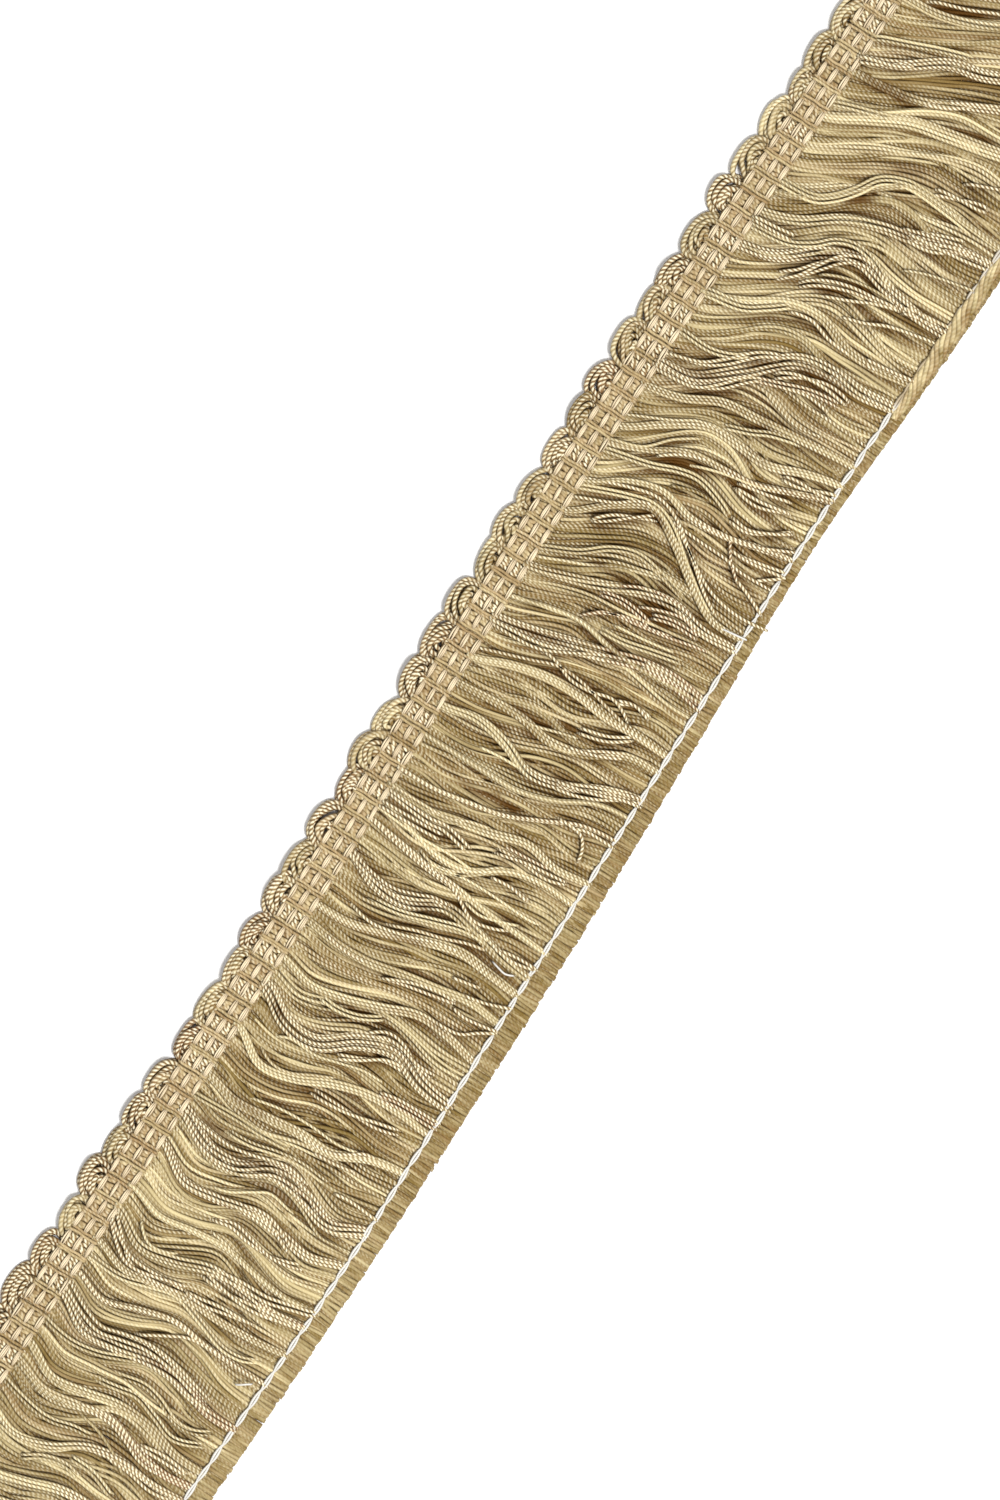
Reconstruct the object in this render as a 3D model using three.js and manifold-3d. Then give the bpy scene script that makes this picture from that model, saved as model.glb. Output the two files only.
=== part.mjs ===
// A cut length of brush fringe trim, lying on its flat back with its front face up.
// Millimetres. +X runs along the trim, +Y from the fringe towards the loops, +Z out of the front face.
// Across the trim, 0 is near the heading's lower edge until the whole trim is centred at the end.
import * as THREE from 'three';
import { mergeVertices } from 'three/addons/utils/BufferGeometryUtils.js';
import Module from 'manifold-3d';

const wasm = await Module();
wasm.setup();

// Sizes of the whole trim
const LOOP_COUNT = 43;
const LOOP_PITCH = 7.6;
const HALF_LENGTH = (LOOP_COUNT * LOOP_PITCH) / 2;
const PIECE_GAP = 0.3;
const STRIP_STEPS = 22;

// The woven heading: three lines of warp float over every other pick of weft, and the next lies on them
const HEADING_WIDTH = 5.4;
const PICKS_PER_LOOP = 4;
const PICK_PITCH = LOOP_PITCH / PICKS_PER_LOOP;
const HEADING_EDGE_HEIGHT = 1.5;
const RIB_PLACES = [0.1, 0.5, 0.9];
const VALLEY_PLACES = [0.3, 0.7];
const PICK_HEIGHTS = [
  { rib: 2.4, valley: 1.6 },
  { rib: 1.9, valley: 2.2 },
];

// The looped edge
const LOOP_STRIP_WIDTH = 0.8;
const LOOP_STRIP_HEIGHT = 2.0;
const LOOP_FOOT_HEIGHT = 1.2;
const LOOP_WIDTH = 7.1;
const LOOP_REACH = 3.1;
const LOOP_INNER_RADIUS = 0.7;
const LOOP_RIDGE_HEIGHT = 2.3;
const LOOP_RIDGE_PLACE = 0.55;
const LOOP_STEPS = 5;
const LOOP_FOOT_LIFT = 0.3;
const LOOP_REACH_UNEVENNESS = 0.25;
const LOOP_LEAN = 1.2;
const LOOP_SQUARENESS = 0.6;
const LOOP_RIDGE_UNEVENNESS = 0.2;

// The fringe: a root strip, a lower row of locks and an upper row of larger ones
const ROOT_STRIP_WIDTH = 1.5;
const ROOT_STRIP_HEIGHT = 2.5;
const LOCKS_PER_LOOP = 3;
const LOCK_PITCH = LOOP_PITCH / LOCKS_PER_LOOP;
const LOCK_WIDTH = 2.0;
const LOCK_UNEVENNESS = 0.2;
const RIDGE_WANDER = 0.5;
const UPPER_ROOT_WIDTH_SHARE = 0.75;
const CUT_ENDS_DOWN = 1.1;
const END_UNEVENNESS = 0.012;
const CLUMP_SWING = 0.9;
const CLUMP_LENGTH = 17;
const CLUMP_TURN = 3.1;

// The chain stitch
const LINK_LENGTH = 3.93;
const LINK_WIDTH = 1.1;
const PINCH_WIDTH = 0.45;
const STITCH_UNDERSIDE = 1.2;
const STITCH_THICKNESS = 0.55;
const STITCH_END_MARGIN = 0.6;

// How the trim lies, in a slight bend. Each row is a place along it, 40 mm apart, and gives where the
// heading's middle, the stitching and the cut ends of the yarn lie across it.
const LIE_START = -180;
const LIE_STEP = 40;
const LIE = [
  { heading: 4.1, stitch: -35.8, cutEnds: -39.8 },
  { heading: 3.55, stitch: -37.1, cutEnds: -40.9 },
  { heading: 2.7, stitch: -38.5, cutEnds: -42.0 },
  { heading: 2.45, stitch: -38.5, cutEnds: -42.2 },
  { heading: 2.6, stitch: -38.1, cutEnds: -41.9 },
  { heading: 3.3, stitch: -37.8, cutEnds: -40.8 },
  { heading: 3.45, stitch: -37.5, cutEnds: -39.5 },
  { heading: 3.0, stitch: -38.3, cutEnds: -41.1 },
  { heading: 2.4, stitch: -39.2, cutEnds: -42.0 },
  { heading: 2.2, stitch: -39.8, cutEnds: -42.6 },
];

// How far the yarn swings along the trim from its root on its way down. Each row is a root's place
// along the trim, 30 mm apart, and its columns are six even steps from the heading to the stitching.
const SWING_START = -165;
const SWING_STEP = 30;
const SWING_STEPS_DOWN = 6;
const SWING = [
  { down: [0, -2.0, -1.2, 1.0, 0.8, -0.8, -1.6] },
  { down: [0, -2.3, -1.4, 1.0, 0.4, -1.4, -2.0] },
  { down: [0, -2.4, -1.4, 1.0, 0.4, -1.2, -1.0] },
  { down: [0, -1.6, -1.2, 0.8, 0.6, 0.0, 0.6] },
  { down: [0, -0.8, 0.4, 2.4, 3.4, 3.0, 2.4] },
  { down: [0, 0.0, 0.6, 1.8, 3.2, 4.0, 4.4] },
  { down: [0, 1.4, 3.0, 4.0, 5.2, 6.0, 6.0] },
  { down: [0, 4.2, 8.0, 8.2, 6.8, 6.4, 6.8] },
  { down: [0, 3.4, 7.6, 9.6, 9.0, 8.8, 9.0] },
  { down: [0, 3.6, 8.0, 10.4, 10.2, 9.8, 9.8] },
  { down: [0, 2.6, 6.0, 9.6, 12.0, 13.0, 12.8] },
  { down: [0, 2.4, 5.0, 7.4, 9.0, 9.6, 9.6] },
];

// Sections of a lower lock, from inside its root strip to its cut end. down is 0 at the heading's lower
// edge, 1 at the stitching and CUT_ENDS_DOWN at the cut ends.
const LOWER_SECTIONS = [
  { down: 0.03, underside: 0.3, ridge: 0.9 },
  { down: 0.13, underside: 0, ridge: 1.2 },
  { down: 0.29, underside: 0, ridge: 1.4 },
  { down: 0.45, underside: 0, ridge: 1.4 },
  { down: 0.62, underside: 0, ridge: 1.4 },
  { down: 0.8, underside: 0, ridge: 1.25 },
  { down: 1.0, underside: 0, ridge: 0.75 },
  { down: CUT_ENDS_DOWN, underside: 0, ridge: 0.95 },
];

// Sections of an upper lock, which lies on the lower ones and ends just short of the stitching.
const UPPER_SECTIONS = [
  { down: 0.03, underside: 1.5, ridge: 2.1 },
  { down: 0.1, underside: 1.65, ridge: 2.6 },
  { down: 0.22, underside: 1.85, ridge: 3.1 },
  { down: 0.34, underside: 1.9, ridge: 3.3 },
  { down: 0.46, underside: 1.9, ridge: 3.3 },
  { down: 0.58, underside: 1.9, ridge: 3.3 },
  { down: 0.7, underside: 1.85, ridge: 3.1 },
  { down: 0.82, underside: 1.75, ridge: 2.7 },
  { down: 0.94, underside: 1.5, ridge: 2.1 },
];

// The upper locks. Each row gives a lock's width, and its places along the trim at its root and at six
// even steps from there to the stitching.
const UPPER_LOCKS = [
  { wide: 2.0, along: [-157.0, -159.0, -158.0, -156.0, -156.5, -158.0, -159.0] },
  { wide: 1.8, along: [-152.5, -154.4, -153.0, -150.8, -150.4, -152.0, -153.0] },
  { wide: 2.0, along: [-144.5, -146.8, -145.4, -141.8, -140.8, -141.4, -141.2] },
  { wide: 2.2, along: [-135.6, -137.6, -136.8, -135.6, -137.4, -138.8, -138.4] },
  { wide: 1.6, along: [-132.0, -135.0, -134.2, -132.8, -133.0, -134.8, -135.2] },
  { wide: 2.8, along: [-120.6, -124.3, -123.8, -122.0, -122.6, -125.0, -125.8] },
  { wide: 1.6, along: [-117.0, -118.8, -116.8, -115.2, -115.8, -116.0, -116.2] },
  { wide: 1.6, along: [-110.5, -112.0, -110.8, -109.4, -110.0, -110.6, -110.0] },
  { wide: 2.2, along: [-104.5, -107.8, -106.4, -104.2, -104.4, -105.0, -104.2] },
  { wide: 1.6, along: [-99.5, -101.2, -100.2, -99.8, -100.8, -101.4, -100.8] },
  { wide: 2.0, along: [-90.0, -93.7, -93.4, -92.0, -93.6, -92.4, -91.4] },
  { wide: 3.2, along: [-83.2, -87.0, -87.6, -84.0, -84.6, -87.0, -84.4] },
  { wide: 1.8, along: [-75.8, -77.2, -76.6, -75.8, -75.8, -73.0, -72.0] },
  { wide: 1.8, along: [-65.8, -69.4, -68.4, -65.4, -63.6, -63.4, -64.0] },
  { wide: 3.4, along: [-57.2, -61.2, -61.6, -57.2, -54.6, -57.0, -58.0] },
  { wide: 1.8, along: [-51.5, -53.0, -51.8, -49.6, -47.2, -47.6, -49.0] },
  { wide: 1.8, along: [-43.7, -44.4, -44.2, -42.8, -41.6, -40.4, -41.0] },
  { wide: 2.0, along: [-40.5, -40.2, -38.2, -35.8, -34.0, -34.4, -35.0] },
  { wide: 2.6, along: [-29.6, -32.0, -32.4, -29.0, -29.4, -30.8, -31.5] },
  { wide: 1.8, along: [-22.8, -23.8, -24.6, -25.0, -25.6, -25.8, -26.2] },
  { wide: 1.8, along: [-19.0, -20.5, -21.9, -21.3, -17.5, -16.2, -16.6] },
  { wide: 1.8, along: [-15.8, -16.4, -15.0, -13.6, -11.8, -12.8, -12.0] },
  { wide: 1.4, along: [-12.6, -12.4, -11.2, -9.8, -7.4, -3.6, -2.0] },
  { wide: 1.6, along: [-5.3, -5.2, -5.1, -4.8, -2.8, 0.6, 1.6] },
  { wide: 2.2, along: [0.6, 1.9, 1.0, -1.2, 0.6, 3.9, 5.6] },
  { wide: 1.6, along: [5.4, 6.0, 6.3, 5.4, 6.8, 10.4, 11.0] },
  { wide: 2.2, along: [10.6, 13.0, 14.6, 15.0, 14.4, 14.6, 14.4] },
  { wide: 2.6, along: [18.4, 19.4, 21.1, 22.8, 25.4, 26.2, 25.6] },
  { wide: 1.4, along: [23.2, 25.0, 27.2, 30.6, 31.6, 33.4, 33.8] },
  { wide: 2.4, along: [29.5, 31.2, 33.4, 36.2, 37.2, 36.0, 36.4] },
  { wide: 1.8, along: [41.0, 46.0, 50.0, 46.8, 42.4, 38.9, 38.9] },
  { wide: 1.8, along: [47.0, 51.0, 53.0, 51.6, 52.0, 53.6, 55.0] },
  { wide: 2.2, along: [53.5, 56.0, 60.2, 61.6, 62.4, 65.0, 67.2] },
  { wide: 1.6, along: [58.5, 62.8, 66.6, 66.8, 66.6, 69.0, 70.6] },
  { wide: 1.6, along: [67.0, 68.4, 71.6, 72.4, 73.2, 74.0, 74.6] },
  { wide: 3.0, along: [71.8, 72.6, 78.0, 84.6, 86.2, 86.0, 87.0] },
  { wide: 1.8, along: [86.2, 88.8, 92.6, 93.4, 91.2, 91.0, 92.0] },
  { wide: 3.0, along: [96.6, 98.2, 103.0, 105.8, 104.0, 102.8, 102.6] },
  { wide: 2.2, along: [103.5, 105.6, 110.0, 112.5, 113.8, 116.2, 117.4] },
  { wide: 1.6, along: [107.6, 110.4, 116.2, 121.0, 121.2, 120.8, 120.6] },
  { wide: 1.8, along: [123.5, 126.0, 127.7, 129.3, 131.2, 132.8, 133.6] },
  { wide: 2.0, along: [132.8, 133.4, 134.8, 138.0, 141.2, 143.5, 144.6] },
  { wide: 2.6, along: [136.8, 139.2, 143.0, 146.4, 149.5, 151.6, 152.4] },
  { wide: 2.0, along: [148.6, 149.0, 151.0, 154.2, 157.0, 159.0, 160.0] },
  { wide: 1.8, along: [156.0, 158.0, 160.8, 163.2, 165.0, 166.4, 166.8] },
];

const clamp = THREE.MathUtils.clamp;
const mix = THREE.MathUtils.lerp;

// A value from -0.5 to 0.5 that looks like chance and is the same every time.
function uneven(index, kind) {
  const turned = Math.sin(index * 12.9898 + kind * 78.233) * 43758.5453;
  return turned - Math.floor(turned) - 0.5;
}

// The value at a place in an evenly spaced row of values, on a smooth curve through them.
function smoothValue(values, place) {
  const last = values.length - 1;
  const held = clamp(place, 0, last);
  const index = Math.min(Math.floor(held), last - 1);
  const t = held - index;
  const at = (k) => values[clamp(k, 0, last)];
  const slopeIn = (at(index + 1) - at(index - 1)) / 2;
  const slopeOut = (at(index + 2) - at(index)) / 2;
  const rise = at(index + 1) - at(index);
  const bend = 3 * rise - 2 * slopeIn - slopeOut;
  const turn = slopeIn + slopeOut - 2 * rise;
  return at(index) + t * (slopeIn + t * (bend + t * turn));
}

// The lie of one line of the trim at a place along it.
function lieOf(line, along) {
  const values = LIE.map((row) => row[line]);
  return smoothValue(values, (along - LIE_START) / LIE_STEP);
}

const headingLow = (along) => lieOf('heading', along) - HEADING_WIDTH / 2;
const headingHigh = (along) => lieOf('heading', along) + HEADING_WIDTH / 2;

// How far across the trim a point of the fringe lies, from how far down the yarn it is.
function acrossAt(along, down) {
  const stitch = lieOf('stitch', along);
  if (down <= 1) {
    return mix(headingLow(along), stitch, down);
  }
  return mix(stitch, lieOf('cutEnds', along), (down - 1) / (CUT_ENDS_DOWN - 1));
}

// The place along the trim that a yarn has swung to, from its root's place and how far down it is.
function swungTo(root, down) {
  const place = clamp(down, 0, 1) * SWING_STEPS_DOWN;
  const swings = SWING.map((row) => smoothValue(row.down, place));
  const swing = smoothValue(swings, (root - SWING_START) / SWING_STEP);
  const clump = CLUMP_SWING * Math.sin((2 * Math.PI * root) / CLUMP_LENGTH + CLUMP_TURN * down);
  return root + swing + clump * Math.sin(Math.PI * clamp(down, 0, 1));
}

// A closed body through sections that all have the same number of corners, with a flat end at each side.
// The corners run anticlockwise when seen from the last section, looking back along the body.
function sweep(sections) {
  const corners = sections[0].length;
  const positions = sections.flat().flatMap((corner) => [corner.x, corner.y, corner.z]);
  const faces = [];
  for (let s = 0; s + 1 < sections.length; s += 1) {
    for (let c = 0; c < corners; c += 1) {
      const here = s * corners + c;
      const beside = s * corners + ((c + 1) % corners);
      faces.push(here, beside, beside + corners);
      faces.push(here, beside + corners, here + corners);
    }
  }
  const end = (sections.length - 1) * corners;
  for (let c = 1; c + 1 < corners; c += 1) {
    faces.push(0, c + 1, c);
    faces.push(end, end + c, end + c + 1);
  }
  const geometry = new THREE.BufferGeometry();
  geometry.setAttribute('position', new THREE.Float32BufferAttribute(positions, 3));
  geometry.setIndex(faces);
  return geometry;
}

function solidFrom(geometry) {
  const merged = mergeVertices(geometry);
  return new wasm.Manifold(new wasm.Mesh({
    numProp: 3,
    vertProperties: new Float32Array(merged.attributes.position.array),
    triVerts: new Uint32Array(merged.index.array),
  }));
}

// Several closed bodies joined into one.
function joined(geometries) {
  const whole = geometries.map(solidFrom).reduce((sum, next) => sum.add(next));
  const mesh = whole.getMesh();
  const geometry = new THREE.BufferGeometry();
  geometry.setAttribute('position', new THREE.Float32BufferAttribute(mesh.vertProperties, 3));
  geometry.setIndex([...mesh.triVerts]);
  return geometry;
}

const point = (x, y, z) => new THREE.Vector3(x, y, z);

// A strip with a plain box section that follows the trim's bend at an offset from one of its lines.
function strip(lineAcross, low, high, height) {
  const sections = [];
  for (let step = 0; step <= STRIP_STEPS; step += 1) {
    const along = mix(-HALF_LENGTH, HALF_LENGTH, step / STRIP_STEPS);
    const across = lineAcross(along);
    sections.push([
      point(along, across + low, 0),
      point(along, across + high, 0),
      point(along, across + high, height),
      point(along, across + low, height),
    ]);
  }
  return sweep(sections);
}

// One section across the heading: its flat back, low edges, three ribs and the two valleys between them.
function headingSection(along, heights) {
  const low = headingLow(along);
  const high = headingHigh(along);
  const at = (place, height) => point(along, mix(low, high, place), height);
  return [
    at(0, 0),
    at(1, 0),
    at(1, HEADING_EDGE_HEIGHT),
    at(RIB_PLACES[2], heights.rib),
    at(VALLEY_PLACES[1], heights.valley),
    at(RIB_PLACES[1], heights.rib),
    at(VALLEY_PLACES[0], heights.valley),
    at(RIB_PLACES[0], heights.rib),
    at(0, HEADING_EDGE_HEIGHT),
  ];
}

// The heading: a ladder of floats and picks in turn, with a section at each pick and at each cut end.
function headingBand() {
  const picks = LOOP_COUNT * PICKS_PER_LOOP;
  const sections = [headingSection(-HALF_LENGTH, PICK_HEIGHTS[1])];
  for (let pick = 0; pick < picks; pick += 1) {
    const along = -HALF_LENGTH + (pick + 0.5) * PICK_PITCH;
    sections.push(headingSection(along, PICK_HEIGHTS[pick % 2]));
  }
  sections.push(headingSection(HALF_LENGTH, PICK_HEIGHTS[0]));
  return sweep(sections);
}

// One loop: a bundle of yarn that leaves the strip, turns over in a squarish arch and comes back, flat
// below and ridged above.
function loopArch(index) {
  const middle = -HALF_LENGTH + (index + 0.5) * LOOP_PITCH;
  const foot = headingHigh(middle) + PIECE_GAP + LOOP_STRIP_WIDTH / 2;
  const reach = LOOP_REACH * (1 + LOOP_REACH_UNEVENNESS * uneven(index, 1));
  const lean = LOOP_LEAN * uneven(index, 2);
  const ridgeShare = LOOP_RIDGE_PLACE + LOOP_RIDGE_UNEVENNESS * uneven(index, 3);
  const sections = [];
  for (let step = 0; step <= LOOP_STEPS; step += 1) {
    const angle = (Math.PI * step) / LOOP_STEPS;
    const rise = Math.abs(Math.sin(angle)) ** LOOP_SQUARENESS;
    const side = -Math.sign(Math.cos(angle)) * Math.abs(Math.cos(angle)) ** LOOP_SQUARENESS;
    const nearFoot = step <= 1 || step >= LOOP_STEPS - 1;
    const underside = nearFoot ? LOOP_FOOT_LIFT : 0;
    const ridge = mix(LOOP_FOOT_HEIGHT, LOOP_RIDGE_HEIGHT, rise);
    const onArch = (share, height) => {
      const across = mix(LOOP_INNER_RADIUS, reach, share) * rise;
      const wide = mix(LOOP_INNER_RADIUS, LOOP_WIDTH / 2, share);
      const along = middle + wide * side + (lean * across) / reach;
      return point(along, foot + across, height);
    };
    sections.push([onArch(0, underside), onArch(1, underside), onArch(ridgeShare, ridge)]);
  }
  return sweep(sections);
}

function loopEdge() {
  const parts = [strip(headingHigh, PIECE_GAP, PIECE_GAP + LOOP_STRIP_WIDTH, LOOP_STRIP_HEIGHT)];
  for (let index = 0; index < LOOP_COUNT; index += 1) {
    parts.push(loopArch(index));
  }
  return joined(parts);
}

// One lower lock: a three-sided bundle that follows the swing of the yarn, flat on the surface.
function lowerLock(index) {
  const root = -HALF_LENGTH + (index + 0.5) * LOCK_PITCH;
  const ridgeShift = RIDGE_WANDER * uneven(index, 4);
  const ridgeLift = LOCK_UNEVENNESS * uneven(index, 5);
  const endShift = END_UNEVENNESS * uneven(index, 6);
  const sections = LOWER_SECTIONS.map((section) => {
    const down = section.down > 1 ? section.down + endShift : section.down;
    const at = (offset, height) => {
      const along = swungTo(root + offset, down);
      return point(along, acrossAt(along, down), height);
    };
    return [
      at(-LOCK_WIDTH / 2, section.underside),
      at(LOCK_WIDTH / 2, section.underside),
      at(ridgeShift, section.ridge + ridgeLift),
    ];
  });
  return sweep(sections);
}

// One upper lock: a wider bundle in its own waves, narrower at its root and at its tip.
function upperLock(row) {
  const sections = UPPER_SECTIONS.map((section) => {
    const fullness = mix(UPPER_ROOT_WIDTH_SHARE, 1, Math.sin(Math.PI * section.down));
    const middle = smoothValue(row.along, section.down * SWING_STEPS_DOWN);
    const at = (side, height) => {
      const along = middle + (side * row.wide * fullness) / 2;
      return point(along, acrossAt(along, section.down), height);
    };
    return [at(-1, section.underside), at(1, section.underside), at(0, section.ridge)];
  });
  return sweep(sections);
}

function fringeSkirt() {
  const front = -PIECE_GAP - ROOT_STRIP_WIDTH;
  const parts = [strip(headingLow, front, -PIECE_GAP, ROOT_STRIP_HEIGHT)];
  for (let index = 0; index < LOOP_COUNT * LOCKS_PER_LOOP; index += 1) {
    parts.push(lowerLock(index));
  }
  parts.push(...UPPER_LOCKS.map(upperLock));
  return joined(parts);
}

// The chain stitch: lens-shaped links in a row over the locks, pinched where one link holds the next.
function chainStitch() {
  const start = swungTo(-HALF_LENGTH, 1) + STITCH_END_MARGIN;
  const end = swungTo(HALF_LENGTH, 1) - STITCH_END_MARGIN;
  const links = Math.round((end - start) / LINK_LENGTH);
  const sections = [];
  for (let half = 0; half <= links * 2; half += 1) {
    const along = mix(start, end, half / (links * 2));
    const across = lieOf('stitch', along);
    const wide = half % 2 === 0 ? PINCH_WIDTH : LINK_WIDTH;
    sections.push([
      point(along, across - wide / 2, STITCH_UNDERSIDE),
      point(along, across + wide / 2, STITCH_UNDERSIDE),
      point(along, across, STITCH_UNDERSIDE + STITCH_THICKNESS),
    ]);
  }
  return sweep(sections);
}

function piece(name, geometry, colour, roughness) {
  const material = new THREE.MeshStandardMaterial({ color: colour, roughness, metalness: 0 });
  const mesh = new THREE.Mesh(geometry, material);
  mesh.name = name;
  return mesh;
}

const trim = new THREE.Group();
trim.add(piece('heading_band', headingBand(), 0xdcc7a0, 0.6));
trim.add(piece('loop_edge', loopEdge(), 0xbfa878, 0.55));
trim.add(piece('fringe_skirt', fringeSkirt(), 0xb9a46c, 0.5));
trim.add(piece('chain_stitch', chainStitch(), 0xf4f1ea, 0.7));

// The origin is under the middle of the whole trim.
const middle = new THREE.Box3().setFromObject(trim).getCenter(new THREE.Vector3());
trim.position.set(-middle.x, -middle.y, 0);

export default trim;
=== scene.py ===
"""A cut length of brush fringe trim, lying on its back: woven heading, looped edge, skirt and stitching.

Every yarn is a real tube. The skirt is laid in layers, as the weaver's bundles lie: a back layer of even
yarns, two layers of rounded ribbons, the large loose locks, and single strands that stray over them.
Towards the right end its cut ends are rolled up into a cord.
"""
import math

import bpy
import numpy as np
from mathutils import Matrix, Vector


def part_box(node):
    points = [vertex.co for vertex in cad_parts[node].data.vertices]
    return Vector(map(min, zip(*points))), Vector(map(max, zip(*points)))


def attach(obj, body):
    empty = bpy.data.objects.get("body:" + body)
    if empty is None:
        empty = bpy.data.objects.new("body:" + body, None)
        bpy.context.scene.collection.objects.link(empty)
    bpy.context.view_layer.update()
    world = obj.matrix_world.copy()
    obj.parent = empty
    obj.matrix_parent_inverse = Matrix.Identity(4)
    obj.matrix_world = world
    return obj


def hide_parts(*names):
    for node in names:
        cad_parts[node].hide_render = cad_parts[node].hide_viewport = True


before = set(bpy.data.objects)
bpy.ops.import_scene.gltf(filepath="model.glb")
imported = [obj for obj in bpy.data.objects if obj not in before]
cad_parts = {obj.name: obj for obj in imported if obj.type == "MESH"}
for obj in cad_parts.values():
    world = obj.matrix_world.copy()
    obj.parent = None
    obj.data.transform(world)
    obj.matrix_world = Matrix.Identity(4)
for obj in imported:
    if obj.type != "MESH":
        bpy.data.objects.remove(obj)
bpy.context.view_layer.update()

MM = 0.001

# Sizes of the trim in millimetres, as in the part's own source
LOOP_COUNT = 43
LOOP_PITCH = 7.6
HALF_LENGTH = LOOP_COUNT * LOOP_PITCH / 2
HEADING_WIDTH = 5.4
PICKS_PER_LOOP = 4
PICK_PITCH = LOOP_PITCH / PICKS_PER_LOOP
PICK_COUNT = LOOP_COUNT * PICKS_PER_LOOP
CLUMP_SWING = 0.9
CLUMP_LENGTH = 17
CLUMP_TURN = 3.1
CUT_ENDS_DOWN = 1.1
LINK_LENGTH = 3.93
STITCH_END_MARGIN = 0.6

# Yarn and thread
YARN_RADIUS = 0.36
YARN_PITCH = 0.66
TWIST_LENGTH = 1.7
WARP_RADIUS = 0.165
STITCH_RADIUS = 0.24

# How the trim lies, every 40 mm along it: the heading's middle, the stitching and the cut ends
LIE_START = -180
LIE_STEP = 40
LIE = {
    "heading": [4.1, 3.55, 2.7, 2.45, 2.6, 3.3, 3.45, 3.0, 2.4, 2.2],
    "stitch": [-35.8, -37.1, -38.5, -38.5, -38.1, -37.8, -37.5, -38.3, -39.2, -39.8],
    "cut_ends": [-39.8, -40.9, -42.0, -42.2, -41.9, -40.8, -39.5, -41.1, -42.0, -42.6],
}

# How far the yarn swings along the trim on its way down, every 30 mm of its root's place. The columns
# are even steps from the heading to the stitching.
SWING_START = -165
SWING_STEP = 30
STEPS_DOWN = 6
SWING = np.array([
    [0, -2.0, -1.2, 1.0, 0.8, -0.8, -1.6],
    [0, -2.3, -1.4, 1.0, 0.4, -1.4, -2.0],
    [0, -2.4, -1.4, 1.0, 0.4, -1.2, -1.0],
    [0, -1.6, -1.2, 0.8, 0.6, 0.0, 0.6],
    [0, -0.8, 0.4, 2.4, 3.4, 3.0, 2.4],
    [0, 0.0, 0.6, 1.8, 3.2, 4.0, 4.4],
    [0, 1.4, 3.0, 4.0, 5.2, 6.0, 6.0],
    [0, 4.2, 8.0, 8.2, 6.8, 6.4, 6.8],
    [0, 3.4, 7.6, 9.6, 9.0, 8.8, 9.0],
    [0, 3.6, 8.0, 10.4, 10.2, 9.8, 9.8],
    [0, 2.6, 6.0, 9.6, 12.0, 13.0, 12.8],
    [0, 2.4, 5.0, 7.4, 9.0, 9.6, 9.6],
])

# What a yarn looks like: how pale it is, how reddish, how strongly its twist shows and how much painted
# shade it has, as if it lay deeper
LOOKS = {
    "cream": (0.42, 0.21, 1.0, 0.0),
    "silver": (0.50, 0.0, 0.5, 0.0),
    "rust": (0.28, 0.68, 1.0, 0.08),
    "gold": (0.30, 0.05, 0.6, 0.0),
}

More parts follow.
